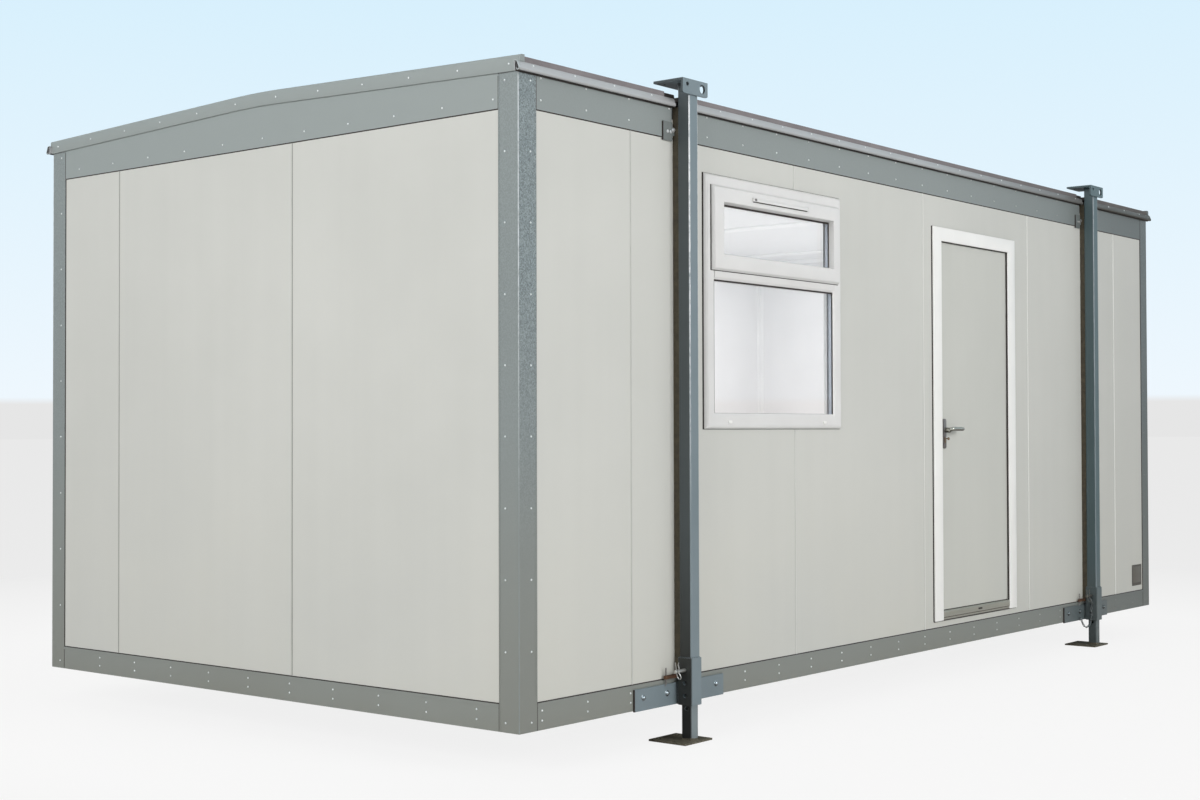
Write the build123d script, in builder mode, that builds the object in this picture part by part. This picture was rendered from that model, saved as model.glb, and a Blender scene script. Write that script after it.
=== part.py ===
"""Portable site cabin on four adjustable jack legs.

A flat-pack style steel and sandwich-panel room, 6.1 m by 3.04 m, with one door and one
window in its front. The origin is on the ground under the middle of the cabin: +X runs
along the front to the right, +Y goes through the cabin to the back, and +Z is up.

Each wall is drawn on its own plane. Seen from outside, the plane's origin is at the wall's
left-hand end, on the outer face of the trims at trim-bottom height. Its x runs to the
right, its y goes into the cabin, and its z is up. A leg has its own frame in the same way:
x across, y towards the cabin from the same trim face, and z up from the ground.
"""
import os

from build123d import *

# ---- overall sizes (millimetres) ----------------------------------------------------
length = 6100.0             # over the corner trims, along the front
width = 3040.0              # over the corner trims, front to back
trim_bottom = 160.0         # underside of the cabin above the ground
body_height = 2491.0        # trim bottom to the underside of the roof edge
roof_rise = 48.0            # ridge above the eaves

# ---- skins and walls ----------------------------------------------------------------
skin = 3.0                  # folded sheet of the trims, skirts and fascias
overcut = 3.0               # how far a cut runs past the faces it opens
wall_thickness = 60.0       # sandwich panel
panel_module = 1220.0       # cover width of one panel
side_joint = 683.0          # first panel joint on the long walls, from the left end
end_joint = 70.0            # where the end walls' panel grid starts, from the front corner
joint_gap = 0.6             # clearance in the tongue and groove
tongue_width = 20.0
tongue_depth = 12.0
joint_chamfer = 3.0         # shows as a fine V between two panels
wall_base = 96.0            # bottom of the panels above the trim bottom
wall_top = 2440.0           # top of the panels above the trim bottom

# ---- trims --------------------------------------------------------------------------
corner_leg = 101.0          # width of a corner trim on each wall
corner_bend = 2.0           # outer bend radius of the corner trim
trim_gap = 2.0              # open joint between a corner trim and the next sheet
skirt_height = 104.0
skirt_lip = 12.0            # folded-out strip along the top of a skirt
skirt_lip_out = 2.0
fascia_bottom = 2360.0

# ---- floor and underframe -----------------------------------------------------------
beam_width = 100.0
beam_inset = 4.0            # underside of the beams above the trim bottom
floor_top = 160.0           # above the trim bottom
cross_beam_width = 50.0
cross_beam_count = 9

# ---- roof ---------------------------------------------------------------------------
eaves_beam_height = 50.0
roof_edge = 21.0            # visible thickness of the roof's edge
roof_edge_out = 12.0        # overhang of that edge
roof_edge_top = 2546.0      # top of the roof's edge above the trim bottom
ceiling_bottom = 2400.0
ceiling_thickness = 12.0
verge_out = 6.0             # how far the verge trim stands past the end walls
verge_overlap = 7.0         # how far the verge stands above the roof
verge_height = 62.0
verge_flange = 80.0         # its top flange over the roof
verge_return = 14.0         # its short return round the corner
drip_out = 24.0             # nose of the drip profile in front of the wall
drip_nose = 9.0
drip_sheet = 3.0
drip_shelf = 11.0
drip_step = 1.0             # how far the shelf's underside stops short of its top

# ---- window -------------------------------------------------------------------------
window_left = 1182.0
window_bottom = 1142.0
window_width = 1110.0
window_height = 1100.0
window_proud = 15.0
window_depth = 66.0
window_member = 80.0
window_chamfer = 1.5
window_sill_member = 68.0
transom_bottom = 1788.0
transom_top = 1845.0
sash_inset = 39.0           # from the frame's outer edge to the sash's edge
sash_top_inset = 48.0
sash_bottom = 1827.0
sash_proud = 18.0           # in front of the frame
sash_side = 88.0
sash_rail = 76.0
sash_tongue = 12.0          # part of the sash inside the frame's opening
glass_unit = 24.0
glass_face = 6.0            # outer face of the lower glass behind the trim face
trickle_length = 458.0
trickle_height = 17.0
trickle_proud = 11.0
trickle_drop = 30.0         # from the sash's top edge to the vent's top

# ---- door ---------------------------------------------------------------------------
door_left = 3216.0
door_frame_width = 942.0
door_frame_top = 2196.0
door_frame_bottom = 142.0
door_opening_width = 758.0  # between the frame's stops
door_opening_top = 2124.0
door_proud = 12.0
stop_depth = 9.0
stop_overlap = 8.0          # how far the leaf goes behind the stop
seal_gap = 5.0              # between leaf and stop, taken up by the seal
leaf_gap = 5.0              # round the leaf
latch_gap = 9.0             # wider on the latch side, where the leaf's corner swings past
leaf_thickness = 50.0
threshold_bottom = 157.0
threshold_top = 190.0
threshold_nose_out = 10.0
hinge_radius = 8.0
hinge_seat = 1.0            # between a barrel and the inner face of the frame
hinge_pin_radius = 4.0
hinge_fit = 0.3             # clearance round the pin and between the knuckles
hinge_height = 96.0
hinge_centres = (420.0, 1160.0, 1900.0)
hinge_flag = 30.0
hinge_link = 14.0           # from the hinge axis to either half's plate
handle_backset = 37.0
handle_height = 1136.0
handle_plate_width = 32.0
handle_plate_below = 98.0
handle_plate_above = 57.0
handle_plate_thickness = 7.0
lever_radius = 9.0
lever_length = 122.0
lever_standoff = 44.0
spindle_radius = 4.5
spindle_fit = 0.3
lever_fit = 0.4             # between lever rose and handle plate
cylinder_drop = 47.0
cylinder_radius = 8.5
cylinder_proud = 4.0

# ---- data plate ---------------------------------------------------------------------
plate_right_gap = 20.0      # from the corner trim
plate_width = 150.0
plate_height = 132.0
plate_bottom = 140.0
plate_thickness = 1.5

# ---- jack legs ----------------------------------------------------------------------
leg_from_end = 1000.0
post_size = 60.0
post_wall = 4.0
post_corner = 5.0
post_standoff = 26.0        # back of the post in front of the trim face
sleeve_wall = 6.0
sleeve_bottom = 155.0       # above the ground
sleeve_height = 195.0
inner_size = 50.0
inner_wall = 5.0
inner_top = 420.0
post_foot_gap = 8.0         # the post starts this far above the bottom of its sleeve
foot_plate = 190.0
foot_thickness = 8.0
foot_front = 102.0          # front edge of the foot plate in front of the trim face
foot_hole_radius = 9.0
foot_hole_x = 130.0
foot_hole_y = 72.0
foot_hole_back = 32.0       # from the plate's back edge to the rear pair of holes
bracket_width = 620.0
bracket_height = 90.0
bracket_thickness = 8.0
bracket_drop = 4.0          # below the trim bottom
pin_radius = 8.0
pin_hole_radius = 8.5
pin_top = 300.0             # above the ground
hole_pitch = 53.0
pin_left = 100.0
pin_right = 52.0
pin_head_radius = 13.0
pin_head = 9.0
keeper_size = 12.0
keeper_height = 14.0
keeper_left = 118.0
keeper_bottom = 268.0
packer_width = 54.0
fascia_cut = 38.0           # half the gap in fascia and drip behind a leg
drip_cut = 40.0
roof_notch = 105.0          # half the notch in the roof's edge at a leg
roof_notch_depth = 60.0
tab_width = 63.0
tab_height = 79.0
tab_thickness = 6.0
tab_below_fascia = 13.0
tab_inner = 41.0            # inner edge of a clamp tab from the leg's middle
lug_half = 88.0
lug_drop = 63.0             # height of the bracket's front plate
lug_thickness = 10.0
lug_back = 57.0             # how far the bracket's top plate reaches over the cabin
lug_height = 2598.0         # its top above the trim bottom
lug_corner = 10.0
eye_radius = 19.0
eye_x = 50.0
eye_drop = 31.0             # centre of the eye below the bracket's top
small_hole_radius = 9.0
small_hole_x = -55.0
small_hole_drop = 22.0
top_hole_radius = 7.0
top_hole_in = 25.0

# ---- derived places -----------------------------------------------------------------
wall_inner = skin + wall_thickness
eaves_beam_top = trim_bottom + wall_top + eaves_beam_height
lug_top = trim_bottom + lug_height
leg_x = length / 2 - leg_from_end
leg_xs = (leg_from_end, length - leg_from_end)
post_centre = post_standoff + post_size / 2
sleeve_size = post_size + 2 * sleeve_wall
sleeve_back = post_centre - sleeve_size / 2
bracket_top = trim_bottom - bracket_drop + bracket_height

front_wall_plane = Plane((-length / 2, -width / 2, trim_bottom), x_dir=(1, 0, 0))
right_wall_plane = Plane((length / 2, -width / 2, trim_bottom), x_dir=(0, 1, 0))
rear_wall_plane = Plane((length / 2, width / 2, trim_bottom), x_dir=(-1, 0, 0))
left_wall_plane = Plane((-length / 2, width / 2, trim_bottom), x_dir=(0, -1, 0))

# Where a leg stands: on the trim face of its long wall, at ground level.
leg_spots = [
    Location((-leg_x, -width / 2, 0)),
    Location((leg_x, -width / 2, 0)),
    Location((leg_x, width / 2, 0), (0, 0, 180)),
    Location((-leg_x, width / 2, 0), (0, 0, 180)),
]

os.makedirs("parts", exist_ok=True)


def block(x0, x1, y0, y1, z0, z1, mode=Mode.ADD):
    """A plain block between two opposite corners, in the open BuildPart."""
    with Locations(((x0 + x1) / 2, (y0 + y1) / 2, (z0 + z1) / 2)):
        Box(x1 - x0, y1 - y0, z1 - z0, mode=mode)


def save(node, name):
    """Label a finished piece and write it as one STEP file."""
    node.part.label = name
    export_step(node.part, f"parts/{name}.step")


def panel_outline(start, end, groove, tongue):
    """Plan of one wall panel: chamfered outer corners, groove on its left, tongue on its right."""
    middle = skin + wall_thickness / 2
    half = tongue_width / 2
    outer = skin
    inner = wall_inner
    left = start + (joint_gap / 2 if groove else 0)
    right = end - (joint_gap / 2 if tongue else 0)
    cut = joint_chamfer if groove else 0
    points = [(left, outer + cut), (left + cut, outer)]
    cut = joint_chamfer if tongue else 0
    points += [(right - cut, outer), (right, outer + cut)]
    if tongue:
        tip = right + tongue_depth
        points += [(right, middle - half), (tip, middle - half)]
        points += [(tip, middle + half), (right, middle + half)]
    points += [(right, inner), (left, inner)]
    if groove:
        slot = half + joint_gap
        bottom = left + tongue_depth + joint_gap
        points += [(left, middle + slot), (bottom, middle + slot)]
        points += [(bottom, middle - slot), (left, middle - slot)]
    corners = [p for i, p in enumerate(points) if p != points[i - 1]]
    with BuildSketch(Plane.XY.offset(wall_base), mode=Mode.PRIVATE) as outline:
        with BuildLine():
            Polyline(*corners, close=True)
        make_face()
    return outline.sketch


def grid_joints(start, end, first):
    """Joints of the panel grid that lie inside a wall from start to end."""
    count = int((end - first) // panel_module) + 1
    places = [first + i * panel_module for i in range(count)]
    return [x for x in places if start + tongue_depth < x < end - tongue_depth]


def outlines_between(edges):
    """Plans of the panels between the given edges, in wall coordinates."""
    last = len(edges) - 2
    return [panel_outline(edges[i], edges[i + 1], i > 0, i < last) for i in range(last + 1)]


def upright_panels(outlines):
    """The panels standing at full wall height, in wall coordinates."""
    with BuildPart() as panels:
        for outline in outlines:
            extrude(outline, amount=wall_top - wall_base)
    return panels.part


def side_plane(wall, x):
    """A plane across a wall at x: its x goes into the cabin and its y goes up."""
    return Plane(wall.origin + wall.x_dir * x, x_dir=wall.y_dir, z_dir=wall.x_dir)


def roof_top(y):
    """Height of the roof's top above the trim bottom, y from a long wall's trim face."""
    run = width / 2 + roof_edge_out
    return roof_edge_top + roof_rise * (y + roof_edge_out) / run


def roof_underside(y):
    """Height of the roof's underside above the trim bottom, y from a long wall's trim face."""
    return wall_top + eaves_beam_height + roof_rise * (y - skin) / (width / 2 - skin)


long_edges = [skin, *grid_joints(skin, length - skin, side_joint), length - skin]
short_start, short_end = wall_inner, width - wall_inner
# Both end walls start their panel grid at the front corner.
right_joints = grid_joints(short_start, short_end, end_joint + panel_module)
left_joints = [width - x for x in reversed(right_joints)]

# ---- underframe and floor -----------------------------------------------------------
with BuildPart(front_wall_plane, rear_wall_plane) as side_beams:
    block(skin, length - skin, skin, skin + beam_width, beam_inset, wall_base)
save(side_beams, "side_beams")

with BuildPart(front_wall_plane) as cross_beams:
    pitch = (length - 2 * skin - cross_beam_width) / (cross_beam_count - 1)
    for i in range(cross_beam_count):
        x = skin + i * pitch
        block(x, x + cross_beam_width, skin + beam_width, width - skin - beam_width,
              beam_inset, wall_base)
save(cross_beams, "cross_beams")

with BuildPart(front_wall_plane) as floor_deck:
    block(wall_inner, length - wall_inner, wall_inner, width - wall_inner,
          wall_base, floor_top)
save(floor_deck, "floor_deck")

# ---- plain walls --------------------------------------------------------------------
with BuildPart(rear_wall_plane) as rear_wall:
    add(upright_panels(outlines_between(long_edges)))
save(rear_wall, "rear_wall")

with BuildPart(left_wall_plane) as left_wall:
    add(upright_panels(outlines_between([short_start, *left_joints, short_end])))
save(left_wall, "left_wall")

with BuildPart(right_wall_plane) as right_wall:
    add(upright_panels(outlines_between([short_start, *right_joints, short_end])))
save(right_wall, "right_wall")

# ---- front wall, split beside and over the doorway -------------------------------------
window_right = window_left + window_width
window_top = window_bottom + window_height
door_right = door_left + door_frame_width


def crosses(outline, left, right):
    """Whether a panel's plan reaches into the stretch of wall from left to right."""
    box = outline.bounding_box()
    return box.min.X < right and box.max.X - tongue_depth > left


front_outlines = outlines_between(long_edges)
window_outlines = [o for o in front_outlines if crosses(o, window_left, window_right)]
other_outlines = [o for o in front_outlines if o not in window_outlines]

with BuildPart(front_wall_plane) as window_wall:
    add(upright_panels(window_outlines))
    block(window_left, window_right, 0, wall_inner + overcut, window_bottom, window_top,
          mode=Mode.SUBTRACT)
save(window_wall, "window_wall")

with BuildPart(front_wall_plane) as front_wall:
    add(upright_panels(other_outlines))
    block(door_left, door_right, 0, wall_inner + overcut, wall_base - overcut, wall_top + overcut,
          mode=Mode.SUBTRACT)
save(front_wall, "front_wall")

with BuildPart(front_wall_plane) as door_head_panel:
    block(door_left, door_right, skin, wall_inner, door_frame_top, wall_top)
save(door_head_panel, "door_head_panel")

with BuildPart(front_wall_plane) as door_sill_panel:
    block(door_left, door_right, skin, wall_inner, wall_base, door_frame_bottom)
save(door_sill_panel, "door_sill_panel")

# ---- trims --------------------------------------------------------------------------
with BuildPart() as corner_trims:
    with BuildSketch(Plane.XY.offset(trim_bottom)):
        with GridLocations(length - corner_leg, width - corner_leg, 2, 2):
            Rectangle(corner_leg, corner_leg)
        Rectangle(length - 2 * skin, width - 2 * skin, mode=Mode.SUBTRACT)
    extrude(amount=body_height)
    arris = [
        edge for edge in corner_trims.edges().filter_by(Axis.Z)
        if abs(edge.center().X) > length / 2 - skin / 2
        and abs(edge.center().Y) > width / 2 - skin / 2
    ]
    fillet(arris, radius=corner_bend)
save(corner_trims, "corner_trims")


def skirt(wall_length):
    """A skirt sheet with its folded-out lip, between the corner trims of one wall."""
    left = corner_leg + trim_gap
    right = wall_length - left
    block(left, right, 0, skin, 0, skirt_height)
    block(left, right, -skirt_lip_out, 0, skirt_height - skirt_lip, skirt_height)


with BuildPart(front_wall_plane, rear_wall_plane) as side_skirts:
    skirt(length)
save(side_skirts, "side_skirts")

with BuildPart(left_wall_plane, right_wall_plane) as end_skirts:
    skirt(width)
save(end_skirts, "end_skirts")


def runs_between_legs(cut, start, end):
    """Stretches of a long wall left by a gap of twice cut behind each leg."""
    left, right = leg_xs
    return [(start, left - cut), (left + cut, right - cut), (right + cut, end)]


fascia_top = roof_edge_top - roof_edge - drip_sheet
with BuildPart(front_wall_plane, rear_wall_plane) as side_fascias:
    for start, end in runs_between_legs(fascia_cut, corner_leg + trim_gap,
                                        length - corner_leg - trim_gap):
        block(start, end, 0, skin, fascia_bottom, fascia_top)
save(side_fascias, "side_fascias")


def gable_outline(left, right, bottom, rise_left, rise_middle):
    """A five-sided gable shape, across a wall of the cabin's width."""
    return [(left, bottom), (right, bottom), (right, rise_left),
            (width / 2, rise_middle), (left, rise_left)]


fascia_left = corner_leg + trim_gap
fascia_sheet = gable_outline(fascia_left, width - fascia_left, fascia_bottom,
                             roof_top(fascia_left), roof_top(width / 2))
with BuildPart() as end_fascias:
    for wall in (left_wall_plane, right_wall_plane):
        with BuildSketch(Plane(wall.origin, x_dir=wall.x_dir, z_dir=-wall.y_dir)):
            with BuildLine():
                Polyline(*fascia_sheet, close=True)
            make_face()
        extrude(amount=-skin)
save(end_fascias, "end_fascias")

# ---- roof ---------------------------------------------------------------------------
with BuildPart(front_wall_plane, rear_wall_plane) as eaves_beams:
    block(skin, length - skin, skin, wall_inner, wall_top, wall_top + eaves_beam_height)
save(eaves_beams, "eaves_beams")

gable_sheet = gable_outline(wall_inner, width - wall_inner, wall_top,
                            roof_underside(wall_inner), roof_underside(width / 2))
with BuildPart() as gable_panels:
    for wall in (left_wall_plane, right_wall_plane):
        with BuildSketch(Plane(wall.origin + wall.y_dir * skin, x_dir=wall.x_dir,
                               z_dir=-wall.y_dir)):
            with BuildLine():
                Polyline(*gable_sheet, close=True)
            make_face()
        extrude(amount=-wall_thickness)
save(gable_panels, "gable_panels")

with BuildPart(front_wall_plane) as ceiling:
    block(wall_inner, length - wall_inner, wall_inner, width - wall_inner,
          ceiling_bottom, ceiling_bottom + ceiling_thickness)
save(ceiling, "ceiling")

slab_outline = [
    (-roof_edge_out, roof_top(-roof_edge_out)),
    (width / 2, roof_top(width / 2)),
    (width / 2, roof_underside(width / 2)),
    (skin, roof_underside(skin)),
    (skin, roof_edge_top - roof_edge),
    (-roof_edge_out, roof_edge_top - roof_edge),
]
with BuildPart(front_wall_plane, rear_wall_plane) as roof_slab:
    with BuildSketch(side_plane(front_wall_plane, skin), side_plane(rear_wall_plane, skin)):
        with BuildLine():
            Polyline(*slab_outline, close=True)
        make_face()
    extrude(amount=length - 2 * skin)
    for x in leg_xs:
        block(x - roof_notch, x + roof_notch, -roof_edge_out - overcut, roof_notch_depth,
              wall_top, roof_edge_top + roof_rise, mode=Mode.SUBTRACT)
save(roof_slab, "roof_slab")

# The verge trim is an angle that follows the gable: a band outside the end wall, a flange
# over the roof, and a short return round each corner.
verge_ends = roof_edge_out + drip_sheet
verge_low = roof_edge_top + verge_overlap - verge_height
verge_band = [
    (-verge_ends, verge_low), (width / 2, verge_low + roof_rise),
    (width + verge_ends, verge_low), (width + verge_ends, verge_low + verge_height),
    (width / 2, verge_low + verge_height + roof_rise), (-verge_ends, verge_low + verge_height),
]
verge_cover = [
    (-verge_ends, roof_top(-roof_edge_out)), (-roof_edge_out, roof_top(-roof_edge_out)),
    (width / 2, roof_top(width / 2)),
    (width + roof_edge_out, roof_top(-roof_edge_out)),
    (width + verge_ends, roof_top(-roof_edge_out)),
    (width + verge_ends, verge_low + verge_height),
    (width / 2, verge_low + verge_height + roof_rise), (-verge_ends, verge_low + verge_height),
]
with BuildPart(left_wall_plane, right_wall_plane) as verge_trims:
    outer_planes = [
        Plane(wall.origin - wall.y_dir * verge_out, x_dir=wall.x_dir, z_dir=-wall.y_dir)
        for wall in (left_wall_plane, right_wall_plane)
    ]
    with BuildSketch(*outer_planes):
        with BuildLine():
            Polyline(*verge_band, close=True)
        make_face()
    extrude(amount=-verge_out)
    with BuildSketch(*outer_planes):
        with BuildLine():
            Polyline(*verge_cover, close=True)
        make_face()
    extrude(amount=-verge_out - verge_flange)
    for x in (-verge_ends, width + roof_edge_out):
        block(x, x + drip_sheet, -verge_out, verge_return,
              roof_edge_top - roof_edge, verge_low + verge_height)
save(verge_trims, "verge_trims")

# The drip profile is a folded sheet: up behind, out under the roof's edge, down to a nose.
drip_low = body_height - drip_sheet
drip_high = roof_edge_top - roof_edge
drip_outline = [
    (0, drip_low), (-drip_sheet, drip_low), (-drip_sheet, drip_high - drip_sheet),
    (-drip_shelf + drip_step, drip_high - drip_sheet),
    (-drip_out + drip_sheet, drip_low + 2 * drip_sheet + drip_nose),
    (-drip_out + drip_sheet, drip_low + 2 * drip_sheet),
    (-drip_out, drip_low + 2 * drip_sheet),
    (-drip_out, drip_low + 3 * drip_sheet + drip_nose),
    (-drip_shelf, drip_high), (0, drip_high),
]
with BuildPart(front_wall_plane, rear_wall_plane) as eaves_drips:
    for start, end in runs_between_legs(drip_cut, 0, length):
        with BuildSketch(side_plane(front_wall_plane, start), side_plane(rear_wall_plane, start)):
            with BuildLine():
                Polyline(*drip_outline, close=True)
            make_face()
        extrude(amount=end - start)
save(eaves_drips, "eaves_drips")

# ---- window -------------------------------------------------------------------------
window_face = -window_proud
window_back = window_face + window_depth
light_left = window_left + window_member
light_right = window_right - window_member
lower_light_bottom = window_bottom + window_sill_member
sash_left = window_left + sash_inset
sash_right = window_right - sash_inset
sash_top = window_top - sash_top_inset
vent_left = sash_left + sash_side
vent_right = sash_right - sash_side
vent_bottom = sash_bottom + sash_rail
vent_top = sash_top - sash_rail

with BuildPart(front_wall_plane) as window_frame:
    block(window_left, window_right, window_face, window_back, window_bottom, window_top)
    block(light_left, light_right, window_face - overcut, window_back + overcut,
          lower_light_bottom, transom_bottom, mode=Mode.SUBTRACT)
    block(light_left, light_right, window_face - overcut, window_back + overcut,
          transom_top, window_top - sash_top_inset - sash_tongue, mode=Mode.SUBTRACT)
    arris = window_frame.edges().filter_by(Axis.Z).group_by(SortBy.LENGTH)[-1]
    chamfer(arris, length=window_chamfer)
save(window_frame, "window_frame")

with BuildPart(front_wall_plane) as vent_sash:
    block(sash_left, sash_right, window_face - sash_proud, window_face,
          sash_bottom, sash_top)
    block(light_left + skin, light_right - skin, window_face, window_back - sash_tongue,
          transom_top + skin, sash_top - sash_tongue - skin)
    block(vent_left, vent_right, window_face - sash_proud - overcut, window_back,
          vent_bottom, vent_top, mode=Mode.SUBTRACT)
save(vent_sash, "vent_sash")

with BuildPart(front_wall_plane) as window_glass:
    block(light_left, light_right, glass_face, glass_face + glass_unit,
          lower_light_bottom, transom_bottom)
    block(vent_left, vent_right, glass_face, glass_face + glass_unit,
          vent_bottom, vent_top)
save(window_glass, "window_glass")

vent_middle = (sash_left + sash_right) / 2
with BuildPart(front_wall_plane) as trickle_vent:
    face = window_face - sash_proud
    block(vent_middle - trickle_length / 2, vent_middle + trickle_length / 2,
          face - trickle_proud, face,
          sash_top - trickle_drop - trickle_height, sash_top - trickle_drop)
    hood = trickle_vent.edges().filter_by(Axis.X).group_by(Axis.Y)[0].sort_by(Axis.Z)[-1]
    chamfer(hood, length=trickle_proud / 2)
save(trickle_vent, "trickle_vent")

# ---- door ---------------------------------------------------------------------------
door_face = -door_proud
opening_left = (door_left + door_right - door_opening_width) / 2
opening_right = opening_left + door_opening_width
stop_back = door_face + stop_depth
leaf_outer = stop_back + seal_gap
leaf_inner = leaf_outer + leaf_thickness
leaf_left = opening_left - stop_overlap
leaf_right = opening_right + stop_overlap
leaf_top = door_opening_top + stop_overlap
leaf_bottom = threshold_top + leaf_gap
pocket_left = leaf_left - latch_gap
pocket_right = leaf_right + leaf_gap

with BuildPart(front_wall_plane) as door_frame:
    block(door_left, door_right, door_face, wall_inner, door_frame_bottom, door_frame_top)
    block(pocket_left, pocket_right, stop_back, wall_inner + overcut,
          door_frame_bottom - overcut, leaf_top + leaf_gap, mode=Mode.SUBTRACT)
    block(opening_left, opening_right, door_face - overcut, stop_back + overcut,
          door_frame_bottom - overcut, door_opening_top, mode=Mode.SUBTRACT)
save(door_frame, "door_frame")

with BuildPart(front_wall_plane) as door_threshold:
    block(pocket_left, pocket_right, stop_back, wall_inner, door_frame_bottom, threshold_top)
    block(opening_left, opening_right, -threshold_nose_out, stop_back,
          threshold_bottom, threshold_top)
save(door_threshold, "door_threshold")

handle_x = leaf_left + handle_backset


def through_hole(x, z, radius, y0, y1, mode=Mode.SUBTRACT):
    """A round hole, or with Mode.ADD a round bar, that runs into the cabin from y0 to y1."""
    with Locations(Location((x, (y0 + y1) / 2, z), (90, 0, 0))):
        Cylinder(radius, y1 - y0, mode=mode)


with BuildPart(front_wall_plane) as door_leaf:
    block(leaf_left, leaf_right, leaf_outer, leaf_inner, leaf_bottom, leaf_top)
    through_hole(handle_x, handle_height, spindle_radius + spindle_fit,
                 leaf_outer - overcut, leaf_inner + overcut)
save(door_leaf, "door_leaf")

plate_faces = [
    (leaf_outer - handle_plate_thickness, leaf_outer),
    (leaf_inner, leaf_inner + handle_plate_thickness),
]
with BuildPart(front_wall_plane) as handle_plates:
    for near, far in plate_faces:
        block(handle_x - handle_plate_width / 2, handle_x + handle_plate_width / 2, near, far,
              handle_height - handle_plate_below, handle_height + handle_plate_above)
        through_hole(handle_x, handle_height, spindle_radius + spindle_fit,
                     near - overcut, far + overcut)
    ends = handle_plates.edges().filter_by(Axis.Y).filter_by(GeomType.LINE)
    fillet(ends, radius=handle_plate_width / 4)
save(handle_plates, "handle_plates")

outer_plate_face = plate_faces[0][0]
inner_plate_face = plate_faces[1][1]
with BuildPart(front_wall_plane) as lock_cylinder:
    cylinder_height = handle_height - cylinder_drop
    through_hole(handle_x, cylinder_height, cylinder_radius,
                 outer_plate_face - cylinder_proud, outer_plate_face, mode=Mode.ADD)
    through_hole(handle_x, cylinder_height, cylinder_radius,
                 inner_plate_face, inner_plate_face + cylinder_proud, mode=Mode.ADD)
save(lock_cylinder, "lock_cylinder")

outer_lever = outer_plate_face - lever_standoff
inner_lever = inner_plate_face + lever_standoff
with BuildPart(front_wall_plane) as lever_handle:
    through_hole(handle_x, handle_height, spindle_radius, outer_lever, inner_lever,
                 mode=Mode.ADD)
    through_hole(handle_x, handle_height, lever_radius, outer_lever,
                 outer_plate_face - lever_fit, mode=Mode.ADD)
    through_hole(handle_x, handle_height, lever_radius, inner_plate_face + lever_fit,
                 inner_lever, mode=Mode.ADD)
    for y in (outer_lever, inner_lever):
        with Locations((handle_x, y, handle_height)):
            Sphere(lever_radius)
        with Locations(Location((handle_x + lever_length / 2, y, handle_height), (0, 90, 0))):
            Cylinder(lever_radius, lever_length)
        with Locations((handle_x + lever_length, y, handle_height)):
            Sphere(lever_radius)
save(lever_handle, "lever_handle")

# ---- hinges: a frame half with two knuckles and the pin, a leaf half with one ---------
hinge_x = leaf_right + leaf_gap / 2
hinge_y = wall_inner + hinge_radius + hinge_seat
knuckle = hinge_height / 3


def hinge_barrel(centre, radius, height, mode=Mode.ADD):
    """A stretch of a hinge's barrel round its upright axis."""
    with Locations((hinge_x, hinge_y, centre)):
        Cylinder(radius, height, mode=mode)


with BuildPart(front_wall_plane) as frame_hinges:
    for centre in hinge_centres:
        low, high = centre - hinge_height / 2, centre + hinge_height / 2
        block(hinge_x + hinge_link, hinge_x + hinge_link + hinge_flag,
              wall_inner, wall_inner + skin, low, high)
        for z in (centre - knuckle, centre + knuckle):
            block(hinge_x, hinge_x + hinge_link, wall_inner, wall_inner + skin,
                  z - knuckle / 2, z + knuckle / 2)
            hinge_barrel(z, hinge_radius, knuckle)
            block(hinge_x, hinge_x + hinge_radius, wall_inner, hinge_y,
                  z - knuckle / 2, z + knuckle / 2)
        hinge_barrel(centre, hinge_pin_radius, hinge_height)
save(frame_hinges, "frame_hinges")

with BuildPart(front_wall_plane) as leaf_hinges:
    pad_right = hinge_x - hinge_link
    for centre in hinge_centres:
        block(pad_right - hinge_flag, pad_right, leaf_inner, hinge_y + skin,
              centre - hinge_height / 2, centre + hinge_height / 2)
        block(pad_right, hinge_x, hinge_y - skin, hinge_y + skin,
              centre - knuckle / 2 + hinge_fit, centre + knuckle / 2 - hinge_fit)
        hinge_barrel(centre, hinge_radius, knuckle - 2 * hinge_fit)
        hinge_barrel(centre, hinge_pin_radius + hinge_fit, knuckle, mode=Mode.SUBTRACT)
save(leaf_hinges, "leaf_hinges")

# ---- data plate ---------------------------------------------------------------------
with BuildPart(front_wall_plane) as data_plate:
    right = length - corner_leg - plate_right_gap
    block(right - plate_width, right, skin - plate_thickness, skin,
          plate_bottom, plate_bottom + plate_height)
save(data_plate, "data_plate")

# ---- jack legs: each piece is made once in a leg's own frame, then set at the four legs --
def square_tube(size, wall, corner):
    """Section of a square tube, centred."""
    with BuildSketch(mode=Mode.PRIVATE) as section:
        RectangleRounded(size, size, corner)
        Rectangle(size - 2 * wall, size - 2 * wall, mode=Mode.SUBTRACT)
    return section.sketch


def tube(size, wall, corner, bottom, top):
    """A square tube on the leg's axis, between two heights above the ground."""
    with Locations((0, -post_centre, 0)):
        add(extrude(square_tube(size, wall, corner).moved(Location((0, 0, bottom))),
                    amount=top - bottom, mode=Mode.PRIVATE))


def pin_hole(z, reach):
    """A hole for the lock pin, right across the leg."""
    with Locations(Location((0, -post_centre, z), (0, 90, 0))):
        Cylinder(pin_hole_radius, reach, mode=Mode.SUBTRACT)


def at_the_legs(piece):
    """Four copies of a leg piece, in the open BuildPart."""
    with Locations(*leg_spots):
        add(piece)


post_bottom = sleeve_bottom + post_foot_gap
post_top = lug_top - lug_thickness
pin_holes = [pin_top - i * hole_pitch for i in range(3)]
bracket_bottom = trim_bottom - bracket_drop

with BuildPart() as post:
    tube(post_size, post_wall, post_corner, post_bottom, post_top)
    for z in pin_holes:
        pin_hole(z, post_size + overcut)
with BuildPart() as leg_posts:
    at_the_legs(post.part)
save(leg_posts, "leg_posts")

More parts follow.
